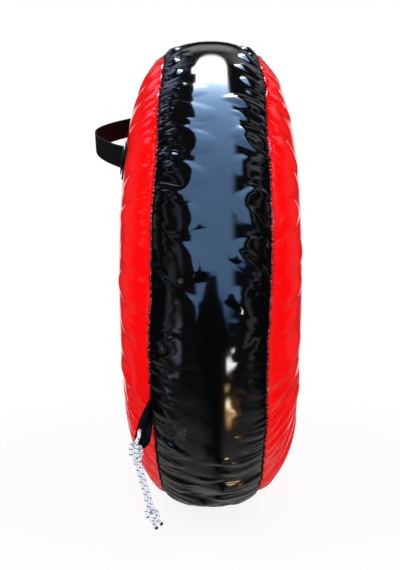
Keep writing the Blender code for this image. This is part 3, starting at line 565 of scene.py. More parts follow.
def fingers(turn, away, ring, layer, seed):
    # between two creases the gathered sheet swells into a finger: height = share · width ·
    # (4p(1 − p))^0.9 with p the place between the creases, times root + (1 − root)·s^0.9
    # where s is the distance from the seam over the finger's length (less near the top, more
    # near the ground), which shortens beside its creases as (4p(1 − p))^0.45. From s = 0.62
    # on it sinks back as 1 − (3t² − 2t³)
    chance = np.random.default_rng(seed)
    count = len(ring)
    step = np.diff(np.append(ring, ring[0] + 360))
    widths = np.radians(step) * pleats["radius"]
    sine = np.sin(np.radians(ring + step / 2))
    ends = np.maximum(smoothStep(sine, 0.15, 0.7), smoothStep(-sine, 0.02, 0.38))
    swell = 1 + layer["gain"] * ends
    spread = layer["spread"]
    heights = layer["height"] * widths * swell * chance.uniform(1 - spread, 1 + spread, count)
    reaches = layer["long"] + layer["reach"] * np.minimum(widths, layer.get("broadest", 1.0))
    reaches = reaches * chance.uniform(1 - spread * 0.8, 1 + spread * 0.8, count)
    low = 0.7 if layer["long"] == 0 else 0.0
    reaches *= 1 - 0.42 * smoothStep(sine, 0.5, 0.85) + low * smoothStep(-sine, 0.45, 0.75)
    lean = chance.uniform(-0.35, 0.35, count)
    degrees = np.degrees(turn) % 360
    degrees = np.where(degrees < ring[0], degrees + 360, degrees)
    cell = np.searchsorted(ring, degrees, side="right") - 1
    p = np.clip((degrees - ring[cell]) / step[cell], 0, 1)
    p = np.clip(p + lean[cell] * p * (1 - p), 0, 1)
    crown = 4 * p * (1 - p)
    s = np.maximum(away, 0) / reaches[cell] / np.maximum(crown, 1e-4) ** 0.45
    run = layer["root"] + (1 - layer["root"]) * np.minimum(s, 1) ** 0.9
    return heights[cell] * crown ** 0.9 * run * (1 - smoothStep(s, 0.62, 1.0))


def gathered(turn, away, spots):
    # creases fan out from their gathers: the angle is stretched about each gather by
    # 0.4·off·exp(−(off / 5.5°)²), which dies off with the distance from the seam
    total = np.zeros_like(turn)
    for spot in spots:
        off = offFrom(math.radians(spot), turn)
        total = total + 0.4 * off * bell(off, pleats["gatherWidth"])
    return total * np.exp(-np.maximum(away, 0) / pleats["gatherReach"])


def slowWave(turn, seed, terms=9):
    # a closed sum of a few waves round the tube, at most about one unit high
    chance = np.random.default_rng(seed)
    total = np.zeros_like(turn)
    for count in range(1, terms + 1):
        total = total + chance.normal() * np.cos(count * turn + chance.uniform(0, 6.28))
    return total / (terms ** 0.5 * 1.3)


def seamWander(turn, table, seed):
    # millimetres off the straight seam: the table in view, a slow wave elsewhere
    spots, offs = np.array(sorted(table)).T
    degrees = offFrom(0, np.degrees(turn), 360)
    seen = np.interp(degrees, spots, offs)
    inside = (smoothStep(degrees, spots[0] - pleats["fade"], spots[0])
              * (1 - smoothStep(degrees, spots[-1], spots[-1] + pleats["fade"])))
    rest = pleats["restWander"] * slowWave(turn * 3, seed)
    # the gathers make the edge ragged, about every 5 mm
    chance = np.random.default_rng(seed)
    teeth = chance.uniform(-1, 1, pleats["teeth"])
    marks = np.linspace(0, fullTurn, pleats["teeth"] + 1)
    ragged = pleats["ragged"] * np.interp(turn, marks, np.append(teeth, teeth[0]))
    return 0.001 * (seen * inside + rest * (1 - inside) + ragged)


turns = np.linspace(0, fullTurn, pleats["columns"], endpoint=False)
seamOut = {side: seamArc + seamWander(turns, pleats[side + "Wander"], seed)
           for side, seed in (("seat", 3), ("back", 4))}
rings = {side: [creaseRing(pleats.get(side + kind, ()), least, most, seeds[i])
                for kind, least, most, *seeds in pleats["spacing"]]
         for i, side in enumerate(signs)}


def pleatHeight(side, turn, away, seed, lean, layers):
    # three sizes of fingers of one seam, leaning and wandering as they leave it, which all
    # start from nothing at the seam's stitches
    tilt = turn + lean * away + gathered(turn, away, pleats[side + "Gathers"])
    outward, onward, sway, ease = pleats["waver"]
    waver = np.sin(outward * away + onward * turn + seed) * np.clip(away / ease, 0, 1)
    tilt = tilt + sway * waver
    height = np.zeros_like(turn)
    for number, (layer, ring) in enumerate(zip(layers, rings[side])):
        height = height + fingers(tilt, away, ring, pleats[layer], seed + number)
    return height * (1 - np.exp(-np.maximum(away, 0) / pleats["rootReach"]))


def strongFolds(side, turn, away):
    # a ridge beside a valley: height · −2.2·u·exp(−u²), u the distance from the fold's line
    # over its width, which narrows to its tip; along it, sin(π·share^0.7)^1.2
    total = np.zeros_like(turn)
    for where, first, last, long, wide, high in pleats["folds"]:
        if where != side:
            continue
        share = np.clip(away * 1000 / long, 0, 1)
        line = np.radians(first + (last - first) * share)
        u = offFrom(line, turn) * pleats["foldRadius"] / (wide * (1.6 - 0.8 * share))
        body = np.sin(math.pi * share ** 0.7) ** 1.2
        total = total - 0.001 * high * 2.2 * u * bell(u, 1) * body
    return total


def seamSwell(away):
    # the cover bulges away from its stitched seam: swell · (1 − exp(−away / reach)) − sink
    bulge = 1 - np.exp(-np.maximum(away, 0) / pleats["swellReach"])
    return pleats["swell"] * bulge - pleats["seamSink"]


def roundTube(sign, turn, along, radius):
    # along the axis, with the seat side to -X, and round it
    return together(sign * along, -radius * np.cos(turn), radius * np.sin(turn))


def ontoTube(sign, turn, along, radius, lowest=0.0):
    # a place on the tube, pressed flat on the ground
    points = roundTube(sign, turn, along, radius) + middle
    points[..., 2] = np.maximum(points[..., 2], lowest)
    return points


# each handle's place: its angle round the tube, its rise and how flat its arch is
handles = {
    "upper": {"turn": 67.0, "rise": 0.066, "fullness": 1.8},
    "lower": {"turn": 224.5, "rise": 0.037, "fullness": 6.0},
    "webbingWidth": 0.038,
    "webbingWall": 0.0022,
    "halfSpan": 0.155,
    "foot": 0.042,
    "margin": 0.010,
    "patchWall": 0.0010,
    "patchLift": 0.0011,
    "archHeight": 0.0240,
    "gap": 0.0006,
    "steps": 261,             # along a strap
    "sides": 40,              # round its section
    "ripple": 0.0003,
    "patchSteps": 41,
    "corner": 0.16,           # how far a patch's sides draw in to its corners
    "rimDrop": 0.0008,
    "rimEase": 0.0005,
    "hemPlace": 0.86,         # share of a patch's half size at which it is stitched
    "hemSink": 0.0004,
    "welt": 0.0003,
    "boxInset": (0.005, 0.004),
    "stitchPitch": 0.0036,
    "stitchSize": (0.0030, 0.0011, 0.0008),
    "bare": 0.0195,           # half width under the strap, where the hem has no stitches
}
# where the cloth is calm under patches and tab: full inside the first, none past the second
calmed = {
    "patchLong": (0.030, 0.050),
    "patchWide": (0.028, 0.050),
    "tabTurn": (5.0, 10.0),   # degrees
    "tabDown": (0.045, 0.065),
}
footMiddle = handles["halfSpan"] + handles["foot"] / 2
patchTop = handles["patchLift"] + handles["patchWall"]


def patchShare(turn, radius):
    # 1 on the handles' patches and 0 well away from them
    share = np.zeros_like(turn)
    for word in ("upper", "lower"):
        angle = math.radians(handles[word]["turn"])
        run = radius * np.sin(turn - angle)
        wide = radius * np.cos(turn - angle) - tube["crestRadius"]
        longway = np.abs(np.abs(run) - footMiddle)
        share = np.maximum(share, (1 - smoothStep(longway, *calmed["patchLong"]))
                           * (1 - smoothStep(np.abs(wide), *calmed["patchWide"])))
    return share


def tabShare(turn, away):
    # 1 on the cover under the tow tab's swing and 0 well away from it
    off = np.abs(offFrom(tube["tabTurn"], np.degrees(turn), 360))
    return ((1 - smoothStep(off, *calmed["tabTurn"]))
            * (1 - smoothStep(away, *calmed["tabDown"])))


def vinylBand():
    # black PVC vinyl, calendered and coated: a mirror-like black that shows every soft wave; the
    # real vinyl is greyer where it is stretched, which this even colour leaves out. Creases too
    # fine for the mesh are drawn as a bump
    return startMaterial("glossyBlackVinyl", {
        "Base Color": linear("#050506"), "Roughness": 0.085, "IOR": 1.53})


def vinylRed():
    # red PVC vinyl: saturated, wet-looking gloss over a colour a little uneven from stretch
    return startMaterial("glossyRedVinyl", {
        "Base Color": linear("#f40103"), "Roughness": 0.14, "IOR": 1.53,
        "Specular IOR Level": 0.38})


def creaseBump(tree, shader, strength, scale):
    # fine creases that run away from the seams: noise stretched along the map's second axis,
    # both in millimetres, and a faint grain all over
    spot = addNode(tree, "UVMap", {"uv_map": "surface"})
    stretch = addNode(tree, "Mapping", inputs={
        0: spot, 3: (1 / scale, 0.22 / scale, 1.0)})
    noise = addNode(tree, "TexNoise", inputs={
        "Vector": stretch, "Scale": 1.0, "Detail": 3.0, "Roughness": 0.6,
        "Distortion": 0.6})
    split = addNode(tree, "SeparateXYZ", inputs={0: spot})
    fade = addNode(tree, "MapRange", {"interpolation_type": "SMOOTHSTEP"}, {
        0: split.outputs[1], 1: 0.0, 2: 45.0, 3: 1.0, 4: 0.06})
    height = addNode(tree, "Math", {"operation": "MULTIPLY"},
                     {0: noise, 1: fade})
    relief = addNode(tree, "Bump", inputs={
        "Strength": strength, "Distance": 0.0012, "Height": height})
    feed(tree, shader, {"Normal": relief})
    return split


def seamHighlightAndTone(tree, shader, split, plain, pale):
    # painted highlight: within 1.3 mm of the seam the red is mixed to pale pink, for the light on
    # the vinyl where it rounds into the stitches; elsewhere the red drifts at random between two
    # tones
    # the painted highlight's share: 0.85 at 0.3 mm from the seam, none from 1.5 mm on
    near = addNode(tree, "MapRange", {"interpolation_type": "SMOOTHSTEP"}, {
        0: split.outputs[1], 1: 0.3, 2: 1.5, 3: 0.85, 4: 0.0})
    spot = addNode(tree, "TexCoord")
    cloud = addNode(tree, "TexNoise", inputs={
        "Vector": spot.outputs["Object"], "Scale": 14.0, "Detail": 2.0})
    worn = addNode(tree, "MapRange", inputs={
        0: cloud, 1: 0.35, 2: 0.7, 3: 0.0, 4: 0.25})
    body = addNode(tree, "Mix", {"data_type": "RGBA"}, {
        0: worn, 6: linear(plain[0]), 7: linear(plain[1])})
    # the red mixed towards pale pink along the seam: a painted highlight
    highlighted = addNode(tree, "Mix", {"data_type": "RGBA"}, {
        0: near, 6: body.outputs[2], 7: linear(pale)})
    feed(tree, shader, {"Base Color": highlighted.outputs[2]})


def coverMaps(away, stretch):
    # map units round the tube, about millimetres, and millimetres from the seam
    ring = np.append(turns, fullTurn) * tube["crestRadius"] * stretch
    return together(ring, closed(away) * 1000)


band = {
    "rows": 65,
    "crowd": 0.35,            # how much closer the rows stand at the seams
    "mapStretch": 1640,
    "creases": (0.10, 7.0),   # strength, and size in millimetres
    # stretches drawn smooth on the seat's and the back's side: degrees, reach, share
    "drawn": ((353.5, 5, 0.7), (339, 11, 0.85)),
    "tabCalm": 0.6,
    # of each side's fingers: seed, lean and layers
    "seat": (21, 0.35, ("seatCoarse", "middle", "fine")),
    "back": (31, -0.25, ("backCoarse", "middle", "fine")),
}


def makeBand():
    u = np.linspace(-1, 1, band["rows"])[:, None]
    u = (1 + band["crowd"]) * u - band["crowd"] * u ** 3
    arc = np.abs(u) * np.where(u < 0, seamOut["seat"], seamOut["back"])
    along, radius, outAlong, outRadius = onProfile(sectionSteps, arc)
    turn = np.broadcast_to(turns, arc.shape)
    awaySeat = seamOut["seat"] + np.sign(u) * arc
    awayBack = seamOut["back"] - np.sign(u) * arc
    # below the middle two stretches of the band are drawn smooth
    seatDrawn, backDrawn = (1 - share * bell(np.degrees(turn) - spot, reach)
                            for spot, reach, share in band["drawn"])
    seatDrawn = seatDrawn * (1 - band["tabCalm"] * tabShare(turn, awaySeat))
    height = (pleatHeight("seat", turn, awaySeat, *band["seat"]) * seatDrawn
              + pleatHeight("back", turn, awayBack, *band["back"]) * backDrawn
              + strongFolds("seat", turn, awaySeat)
              + strongFolds("back", turn, awayBack) * backDrawn
              + seamSwell(np.minimum(awaySeat, awayBack)))
    points = ontoTube(np.sign(u), turn, along + outAlong * height, radius + outRadius * height)
    maps = coverMaps(np.minimum(awaySeat, awayBack), band["mapStretch"])
    data = meshFromGrid("sideBand", points, wrapped=True, maps=maps)
    finish, tree, shader = vinylBand()
    creaseBump(tree, shader, *band["creases"])
    piece = addPiece(data, finish, "cover")
    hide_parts("side_band")
    print("band made")


panel = {
    "rows": 64,
    "crowd": 2.2,             # how much closer the rows stand at the seam
    "mapStretch": 1550,
    "creases": (0.10, 9.0),
    "seat": (41, -0.6, ("panel", "panelMiddle", "panelFine")),
    "back": (51, -0.6, ("panel", "panelMiddle", "panelFine")),
    "tabCalm": 0.85,
    "edgeCalm": 0.03,
    "pole": 0.0005,           # radius in which the back panel closes
}


def makePanel(side):
    profile = panelProfile(flange["inner"] if side == "seat" else 0.0)
    total = arcLengths(profile)[-1]
    v = np.linspace(0, 1, panel["rows"])[:, None]
    v = (v + panel["crowd"] * v ** 2) / (1 + panel["crowd"])
    start = seamOut[side][None]
    arc = start + (total - start) * v
    along, radius, outAlong, outRadius = onProfile(profile, arc)
    turn = np.broadcast_to(turns, arc.shape)
    away = arc - start
    calm = 1 - patchShare(turn, radius)
    if side == "seat":
        calm = calm * (1 - panel["tabCalm"] * tabShare(turn, away))
    inner = np.clip((total - arc) / panel["edgeCalm"], 0, 1)
    height = pleatHeight(side, turn, away, *panel[side]) * calm * inner + seamSwell(away) * inner
    points = ontoTube(signs[side], turn, along + outAlong * height, radius + outRadius * height)
    data = meshFromGrid(side + "SidePanel", points, wrapped=True,
                        maps=coverMaps(away, panel["mapStretch"]), flipped=(side == "seat"))
    if side == "back":
        reworked(data, lambda shape: bmesh.ops.remove_doubles(shape, dist=0.002, verts=[
            v for v in shape.verts
            if math.hypot(v.co.y, v.co.z - tube["axisHeight"]) < panel["pole"]]))
    finish, tree, shader = vinylRed()
    split = creaseBump(tree, shader, *panel["creases"])
    # two random tones of red, with a painted pale pink highlight along the seam
    seamHighlightAndTone(tree, shader, split, ("#f40103", "#e60002"), "#ff9a92")
    piece = addPiece(data, finish, "cover")
    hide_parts(side + "_side_panel")
    print(side, "panel made")


makeBand()
makePanel("seat")
makePanel("back")


# stitches
def domes(name, spots, ahead, up, size, sink=0.25):
    # many small stitches in one mesh: each is half an ellipsoid, long · cos·cos along the
    # thread, wide · sin·cos across it, high · sin above the cloth
    long, wide, high = size
    lat = np.radians([-20, 15, 50, 90])[:, None]
    lon = np.linspace(0, fullTurn, 8, endpoint=False)
    side = unit(np.cross(up, ahead))
    flat = np.cos(lat) * np.cos(lon) * long / 2
    turned = np.cos(lat) * np.sin(lon) * wide / 2
    above = (np.sin(lat) - sink) * high
    points = (spots[:, None, None] + ahead[:, None, None] * flat[..., None]
              + side[:, None, None] * turned[..., None] + up[:, None, None] * above[..., None])
    count, rows, columns = points.shape[:3]
    index = closed(np.arange(rows * columns).reshape(rows, columns))
    faces = quads(index) + (np.arange(count) * rows * columns)[:, None, None]
    data = bpy.data.meshes.new(name)
    data.from_pydata(points.reshape(-1, 3), [], faces.reshape(-1, 4).tolist())
    return mergePoles(data, 1e-7)


def threadMaterial(name, colour):
    # bonded polyester thread: round, slightly waxy, with a twist too fine to show but as a
    # ripple every half millimetre
    return grainedMaterial(name, {
        "Base Color": linear(colour), "Roughness": 0.5, "Specular IOR Level": 0.22},
        "TexWave", {"Scale": 320.0, "Distortion": 1.0}, (0.5, 0.0002),
        {"bands_direction": "DIAGONAL"})


stitch = {
    "seamPitch": 0.0037,
    "seamSize": (0.0050, 0.0021, 0.0012),
    "seamShift": 0.0001,
    "stray": 0.0010,
    "lift": 0.0003,
    "lowest": 0.0008,
    "seeds": {"seat": 5, "back": 6},
}
blackThread = threadMaterial("blackPolyesterThread", "#0b0b0c")


def makeSeamStitches(side):
    # gathers of the band caught by the seam's stitches, at an even pitch round the tube,
    # each leaning a little, its length and place varied by up to a third
    chance = np.random.default_rng(stitch["seeds"][side])
    seamRadius = sectionCurve(tube["seamPlace"])[0, 1]
    count = round(fullTurn * seamRadius / stitch["seamPitch"])
    turn = (np.arange(count) + chance.uniform(-0.22, 0.22, count)) * fullTurn / count
    out = np.interp(turn, np.append(turns, fullTurn), np.append(seamOut[side], seamOut[side][0]))
    arc = out - stitch["seamShift"] + stitch["stray"] * chance.uniform(-1, 1, count)
    along, radius, outAlong, outRadius = onProfile(sectionSteps, arc)
    along, radius = along + outAlong * stitch["lift"], radius + outRadius * stitch["lift"]
    spots = ontoTube(signs[side], turn, along, radius, stitch["lowest"])
    up = roundTube(signs[side], turn, outAlong, outRadius)
    across = roundTube(signs[side], turn, outRadius, -outAlong)
    onward = together(0.0, np.sin(turn), np.cos(turn))
    ahead = unit(across + onward * chance.uniform(0.1, 0.5, count)[:, None])
    data = domes(side + "SeamStitches", spots, ahead, up, stitch["seamSize"])
    piece = addPiece(data, blackThread, "cover")


makeSeamStitches("seat")
makeSeamStitches("back")
print("seams stitched")


# handles
def handleWays(word):
    angle = math.radians(handles[word]["turn"])
    return (np.array([0, math.sin(angle), math.cos(angle)]),
            np.array([0, -math.cos(angle), math.sin(angle)]))


def strapHeight(word, run, wide):
    # the strap lies on its patch, and between its feet it lifts as
    # rise · (1 − |run / half span|^fullness)
    hand = handles[word]
    share = np.clip(1 - np.abs(run / handles["halfSpan"]) ** hand["fullness"], 0, None)
    lift = hand["rise"] * share
    ease = np.clip(lift / (handles["archHeight"] / 2), 0, 1)
    here, centre = clothHeight(run, wide), clothHeight(run, 0.0)
    return here * (1 - ease) + centre * ease + lift + patchTop + handles["gap"]


def onSide(word, run, wide, height):
    # a point of the seat side from its run along a handle, its place across and its height
    along, across = handleWays(word)
    spots = (tube["crestRadius"] + wide)[..., None] * across + run[..., None] * along + middle
    spots[..., 0] = -height
    return spots


def webbingMaterial():
    # woven polyester webbing, black: a satin cloth of twill ribs 1.3 mm wide that run along
    # it in a herringbone; a lighter grey is painted along both edges as a tight selvedge's
    # highlight
    look = {"ground": "#08080a", "thread": "#141417", "edge": "#303138", "half": 19.0}
    finish, tree, shader = startMaterial("polyesterWebbing", {
        "Roughness": 0.6, "Specular IOR Level": 0.05, "Sheen Weight": 0.01,
        "Sheen Roughness": 0.35})
    spot = addNode(tree, "UVMap", {"uv_map": "surface"})
    split = addNode(tree, "SeparateXYZ", inputs={0: spot})
    # a zigzag across the web turns straight ribs into a herringbone
    zigzag = addNode(tree, "Math", {"operation": "PINGPONG"},
                     {0: split.outputs[1], 1: 4.8})
    bent = addNode(tree, "Math", {"operation": "ADD"},
                   {0: split.outputs[0], 1: zigzag})
    turned = addNode(tree, "Math", {"operation": "MULTIPLY"},
                     {0: bent, 1: fullTurn / 1.9})
    rib = addNode(tree, "Math", {"operation": "SINE"}, {0: turned})
    shade = addNode(tree, "MapRange", inputs={0: rib, 1: -1.0, 2: 1.0})
    ground = addNode(tree, "Mix", {"data_type": "RGBA"}, {
        0: shade, 6: linear(look["ground"]), 7: linear(look["thread"])})
    # painted highlight: the last 1.6 mm at each edge turns to a lighter grey
    off = addNode(tree, "Math", {"operation": "ABSOLUTE"}, {0: split.outputs[1]})
    edge = addNode(tree, "MapRange", inputs={
        0: off, 1: look["half"] - 1.6, 2: look["half"] - 0.6})
    highlighted = addNode(tree, "Mix", {"data_type": "RGBA"}, {
        0: edge, 6: ground.outputs[2], 7: linear(look["edge"])})
    relief = addNode(tree, "Bump", inputs={
        "Strength": 0.5, "Distance": 0.0003, "Height": rib})
    feed(tree, shader, {"Base Color": highlighted.outputs[2], "Normal": relief})
    return finish


def patchMaterial():
    # the patch is the same calendered PVC as the band, pressed flat by its stitching: an
    # even gloss with a leather-like grain 0.8 mm wide
    finish, tree, shader = startMaterial("patchVinyl", {
        "Base Color": linear("#0a0a0b"), "Roughness": 0.24, "IOR": 1.53})
    spot = addNode(tree, "TexCoord")
    grain = addNode(tree, "TexVoronoi", {"feature": "SMOOTH_F1"}, {
        "Vector": spot.outputs["Object"], "Scale": 1250.0})
    soft = addNode(tree, "TexNoise", inputs={
        "Vector": spot.outputs["Object"], "Scale": 90.0, "Detail": 2.0})
    both = addNode(tree, "Math", {"operation": "MULTIPLY_ADD"},
                   {0: soft, 1: 3.0, 2: grain})
    relief = addNode(tree, "Bump", inputs={
        "Strength": 0.35, "Distance": 0.0004, "Height": both})
    feed(tree, shader, {"Normal": relief})
    return finish


webbing = webbingMaterial()
patchVinyl = patchMaterial()


def makeHandle(word):
    full = handles["halfSpan"] + handles["foot"]
    run = np.linspace(-full, full, handles["steps"])[:, None]
    angle = np.linspace(0, fullTurn, handles["sides"], endpoint=False)
    # the web's section: a flat oblong, width · |cos|^0.3 and wall · |sin|^0.7
    wide = handles["webbingWidth"] / 2 * signedPower(np.cos(angle), 0.3)
    lift = handles["webbingWall"] / 2 * (1 + signedPower(np.sin(angle), 0.7))
    middleHeight = strapHeight(word, run[:, 0], 0.0)
    slope = np.gradient(middleHeight, run[:, 0])[:, None]
    lift = lift * np.sqrt(1 + slope ** 2)
    # the pressed cloth hollows a little along its middle and ripples where it is sewn down
    sewn = smoothStep(np.abs(run), handles["halfSpan"] - 0.01, handles["halfSpan"])
    ripple = handles["ripple"] * sewn * np.sin(run * 1900) * np.cos(wide * 120)
    run, wide = np.broadcast_arrays(run, wide)
    points = onSide(word, run, wide, strapHeight(word, run, wide) + lift + ripple)
    # both ends close in the middle of their last row
    first, last = (np.broadcast_to(row.mean(axis=0), (1,) + row.shape) for row in points[[0, -1]])
    points = np.concatenate([first, points, last])
    length = arcLengths(np.column_stack([run[:, 0], middleHeight])) * 1000
    length = np.concatenate([length[:1] - 1, length, length[-1:] + 1])
    maps = together(length[:, None], np.append(wide[0], wide[0, 0]) * 1000)
    data = mergePoles(meshFromGrid(word + "HandleWebbing", points, wrapped=True, maps=maps))
    strap = addPiece(data, webbing, None)
    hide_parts(word + "_handle_strap", word + "_handle_front_end",
                word + "_handle_rear_end")
    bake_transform(strap)
    for sign, end in ((-1, "front"), (1, "rear")):
        makePatch(word, end, sign)
        makeBoxStitches(word, end, sign)
    print(word, "handle made")


def patchHalves():
    return np.array([handles["foot"], handles["webbingWidth"]]) / 2 + handles["margin"]


def makePatch(word, end, sign):
    # a flat oblong with rounded corners: u·√(1 − k·v²) by v·√(1 − k·u²), its rim turned down
    u = np.sin(np.linspace(-math.pi / 2, math.pi / 2, handles["patchSteps"]))
    u, v = np.meshgrid(u, u, indexing="ij")
    k = handles["corner"]
    halfLong, halfWide = patchHalves()
    run = sign * footMiddle + halfLong * u * np.sqrt(1 - k * v * v)
    wide = halfWide * v * np.sqrt(1 - k * u * u)
    rim = np.maximum(np.abs(u), np.abs(v))
    lift = (patchTop - (patchTop + handles["rimDrop"]) * rim ** 60
            - handles["rimEase"] * rim ** 12)
    welt = handles["welt"] * bell(rim - handles["hemPlace"], 0.03)
    height = clothHeight(run, wide) + lift - welt
    data = meshFromGrid(f"{word}Handle{end.title()}Patch", onSide(word, run, wide, height))
    piece = addPiece(data, patchVinyl, "cover")
    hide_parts(f"{word}_handle_{end}_patch")


def stitchLine(points, pitch):
    # even places along a line of (run, wide) corners, with the way it goes there
    points = np.array(points, float)
    total = arcLengths(points)[-1]
    count = max(2, round(total / pitch))
    marks = (np.arange(count) + 0.5) * total / count
    ways = atLengths(points, marks + 0.001) - atLengths(points, marks - 0.001)
    return atLengths(points, marks), ways


def makeBoxStitches(word, end, sign):
    # a box with a cross in it on the strap's foot, and a row round the patch, which stops
    # where the strap lies over it
    halves = np.array([handles["foot"], handles["webbingWidth"]]) / 2 - handles["boxInset"]
    corners = np.array([(-1, -1), (1, -1), (1, 1), (-1, 1), (-1, -1)])
    centre = np.array([sign * footMiddle, 0])
    box = centre + corners * halves
    hem = centre + corners * patchHalves() * handles["hemPlace"]
    onWeb = patchTop + handles["gap"] + handles["webbingWall"]
    rows = []
    for row, lift in ((box, onWeb), (box[[0, 2]], onWeb), (box[[3, 1]], onWeb),
                      (hem, patchTop - handles["hemSink"])):
        places, way = stitchLine(row, handles["stitchPitch"])
        keep = (np.abs(places[:, 1]) >= handles["bare"]) | (row is not hem)
        rows.append(np.column_stack([places, way, np.full(len(places), lift)])[keep])
    run, wide, wayRun, wayWide, lift = np.vstack(rows).T
    along, across = handleWays(word)
    points = onSide(word, run, wide, clothHeight(run, wide) + lift)
    ahead = unit(wayRun[:, None] * along + wayWide[:, None] * across)
    step = 0.001
    rise = (clothHeight(run + step, wide) - clothHeight(run - step, wide)) / 2 / step
    up = unit(np.array([-1.0, 0, 0]) - rise[:, None] * along)
    data = domes(f"{word}Handle{end.title()}Stitches", points, ahead, up, handles["stitchSize"])
    piece = addPiece(data, webThread, "cover")


webThread = threadMaterial("greyPolyesterThread", "#26272b")
makeHandle("upper")
makeHandle("lower")


# tow tab
tab = {
    "width": 0.025,
    "wall": 0.0016,
    "lift": 0.0004,
    "holeRadius": 0.0040,
    "tuck": 0.0005,           # its sewn edge lies under the seam
    "fold": 0.0016,
    "foldWay": (-0.3, -1.0, -0.1),
    "curveStep": 0.0001,
    "mapSize": (25, 55),      # millimetres across and down
    "rooted": 0.3,            # share of its length over which it bends at the seam
    # lower edge and middle bends, from the hole as shares of the width: along, front, down
    "edge": ((-0.292, 0, 0.420), (-0.052, 0, 0.692), (0.244, 0, 0.980), (0.448, 0, 0.860),
             (0.616, 0, 0.600)),
    "bend": ((-0.044, 0.020, -0.892), (0.108, 0.032, -0.760), (0.332, 0.040, -0.628),
             (0.564, 0.032, -0.500), (0.776, 0.020, -0.372)),
    "columns": 61,
    "rows": 101,
}


def makeTab():
    turn = math.radians(tube["tabTurn"])
    arc = np.interp(turn % fullTurn, turns, seamOut["seat"]) - tab["tuck"]
    along, radius, outAlong, outRadius = onProfile(sectionSteps, arc)
    spot = roundTube(signs["seat"], turn, along, radius) + middle
    outward = roundTube(signs["seat"], turn, outAlong, outRadius)
    line = np.array([0, math.sin(turn), math.cos(turn)])
    t = np.linspace(0, 1, tab["rows"])[:, None, None]
    c = np.linspace(0, 1, tab["columns"])

    def column(shares):
        # the five places across the tab joined by one smooth curve
        curve = smoothLine(np.array(shares) * tab["width"], tab["curveStep"])
        marks = np.linspace(0, len(curve) - 1, len(c))
        steps = np.arange(len(curve))
        fine = np.column_stack([np.interp(marks, steps, values) for values in curve.T])
        return hole + fine * np.array([1, -1, -1])
    top = spot + line * (tab["width"] * (0.5 - c))[:, None] + outward * tab["lift"]
    points = (top * (1 - t) ** 2 + column(tab["bend"]) * 2 * t * (1 - t)
              + column(tab["edge"]) * t ** 2)
    # a soft fold down the middle, and edges that curl a little towards the cover
    fold = bell(c - 0.46, 0.10) - 0.7 * (2 * np.abs(c - 0.5)) ** 4
    body = np.sin(math.pi * np.clip(t[:, :, 0] * 0.9, 0, 1)) ** 0.7
    points = points + (tab["fold"] * fold * body)[..., None] * np.array(tab["foldWay"])
    # points near the hole's rim move onto it
    flat = points[..., [0, 2]] - hole[[0, 2]]
    reach = np.linalg.norm(flat, axis=-1)
    near = (reach < tab["holeRadius"] * 1.12) & (reach > tab["holeRadius"] * 0.82)
    scale = np.where(near, tab["holeRadius"] / np.maximum(reach, 1e-6), 1.0)
    points[..., [0, 2]] = hole[[0, 2]] + flat * scale[..., None]
    maps = together(c * tab["mapSize"][0], t[:, :, 0] * tab["mapSize"][1])
    data = meshFromGrid("towTab", points, maps=maps, flipped=True)

    def cutHole(shape):
        inside = [f for f in shape.faces if (f.calc_center_median() - Vector(hole)).xz.length
                  < tab["holeRadius"] * 0.97]
        bmesh.ops.delete(shape, geom=inside, context="FACES")
    reworked(data, cutHole)
    # PVC vinyl, soft and matt from handling, with a grain about 4 mm wide
    finish = grainedMaterial("softBlackVinyl", {
        "Base Color": linear("#060608"), "Roughness": 0.36, "Specular IOR Level": 0.08,
        "IOR": 1.5}, "TexNoise", {"Scale": 260.0, "Detail": 4.0, "Roughness": 0.6}, (0.35, 0.0006))
    piece = addPiece(data, finish, None)
    addWall(piece, tab["wall"], even=True)
    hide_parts("tow_tab")
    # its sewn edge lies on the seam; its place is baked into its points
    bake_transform(piece)
    print("tab made")


makeTab()


seatFloor = {
    "radius": 0.1497,
    "face": 0.1160,
    "wall": 0.0012,
    "slotHalf": 0.008,
    "slotEnd": 0.121,
    "nip": 0.0032,
    "rows": 141,
    "columns": 44,
    "hemRadius": 0.1445,
    "hemSlot": 0.0112,
    "hemEnd": 0.117,
    "puckers": 46,
    "pucker": 0.0005,
    "crown": 0.0012,
    "sunk": 0.0004,           # of the stitched lines
    "sunkWidth": 0.0012,
    "ring": {"pitch": 0.0040, "size": (0.0030, 0.0010, 0.0008)},
}


def floorVinyl():
    # black PVC-coated polyester, embossed: a dull leather-like grain 1.4 mm wide over the
    # weave of its scrim, scuffed greyer in soft patches
    finish, tree, shader = startMaterial("embossedFloorVinyl", {
        "Roughness": 0.42, "Specular IOR Level": 0.4, "IOR": 1.53})
    spot = addNode(tree, "TexCoord")
    grain = addNode(tree, "TexVoronoi", {"feature": "DISTANCE_TO_EDGE"}, {
        "Vector": spot.outputs["Object"], "Scale": 700.0})
    soft = addNode(tree, "TexNoise", inputs={
        "Vector": spot.outputs["Object"], "Scale": 26.0, "Detail": 3.0})
    both = addNode(tree, "Math", {"operation": "MULTIPLY_ADD"},
                   {0: soft, 1: 2.0, 2: grain})
    relief = addNode(tree, "Bump", inputs={
        "Strength": 0.5, "Distance": 0.0006, "Height": both})
    scuff = addNode(tree, "MapRange", inputs={0: soft, 1: 0.35, 2: 0.75})
    shade = addNode(tree, "Mix", {"data_type": "RGBA"}, {
        0: scuff, 6: linear("#101012"), 7: linear("#1d1d20")})
    feed(tree, shader, {"Base Color": shade.outputs[2], "Normal": relief})
    return finish


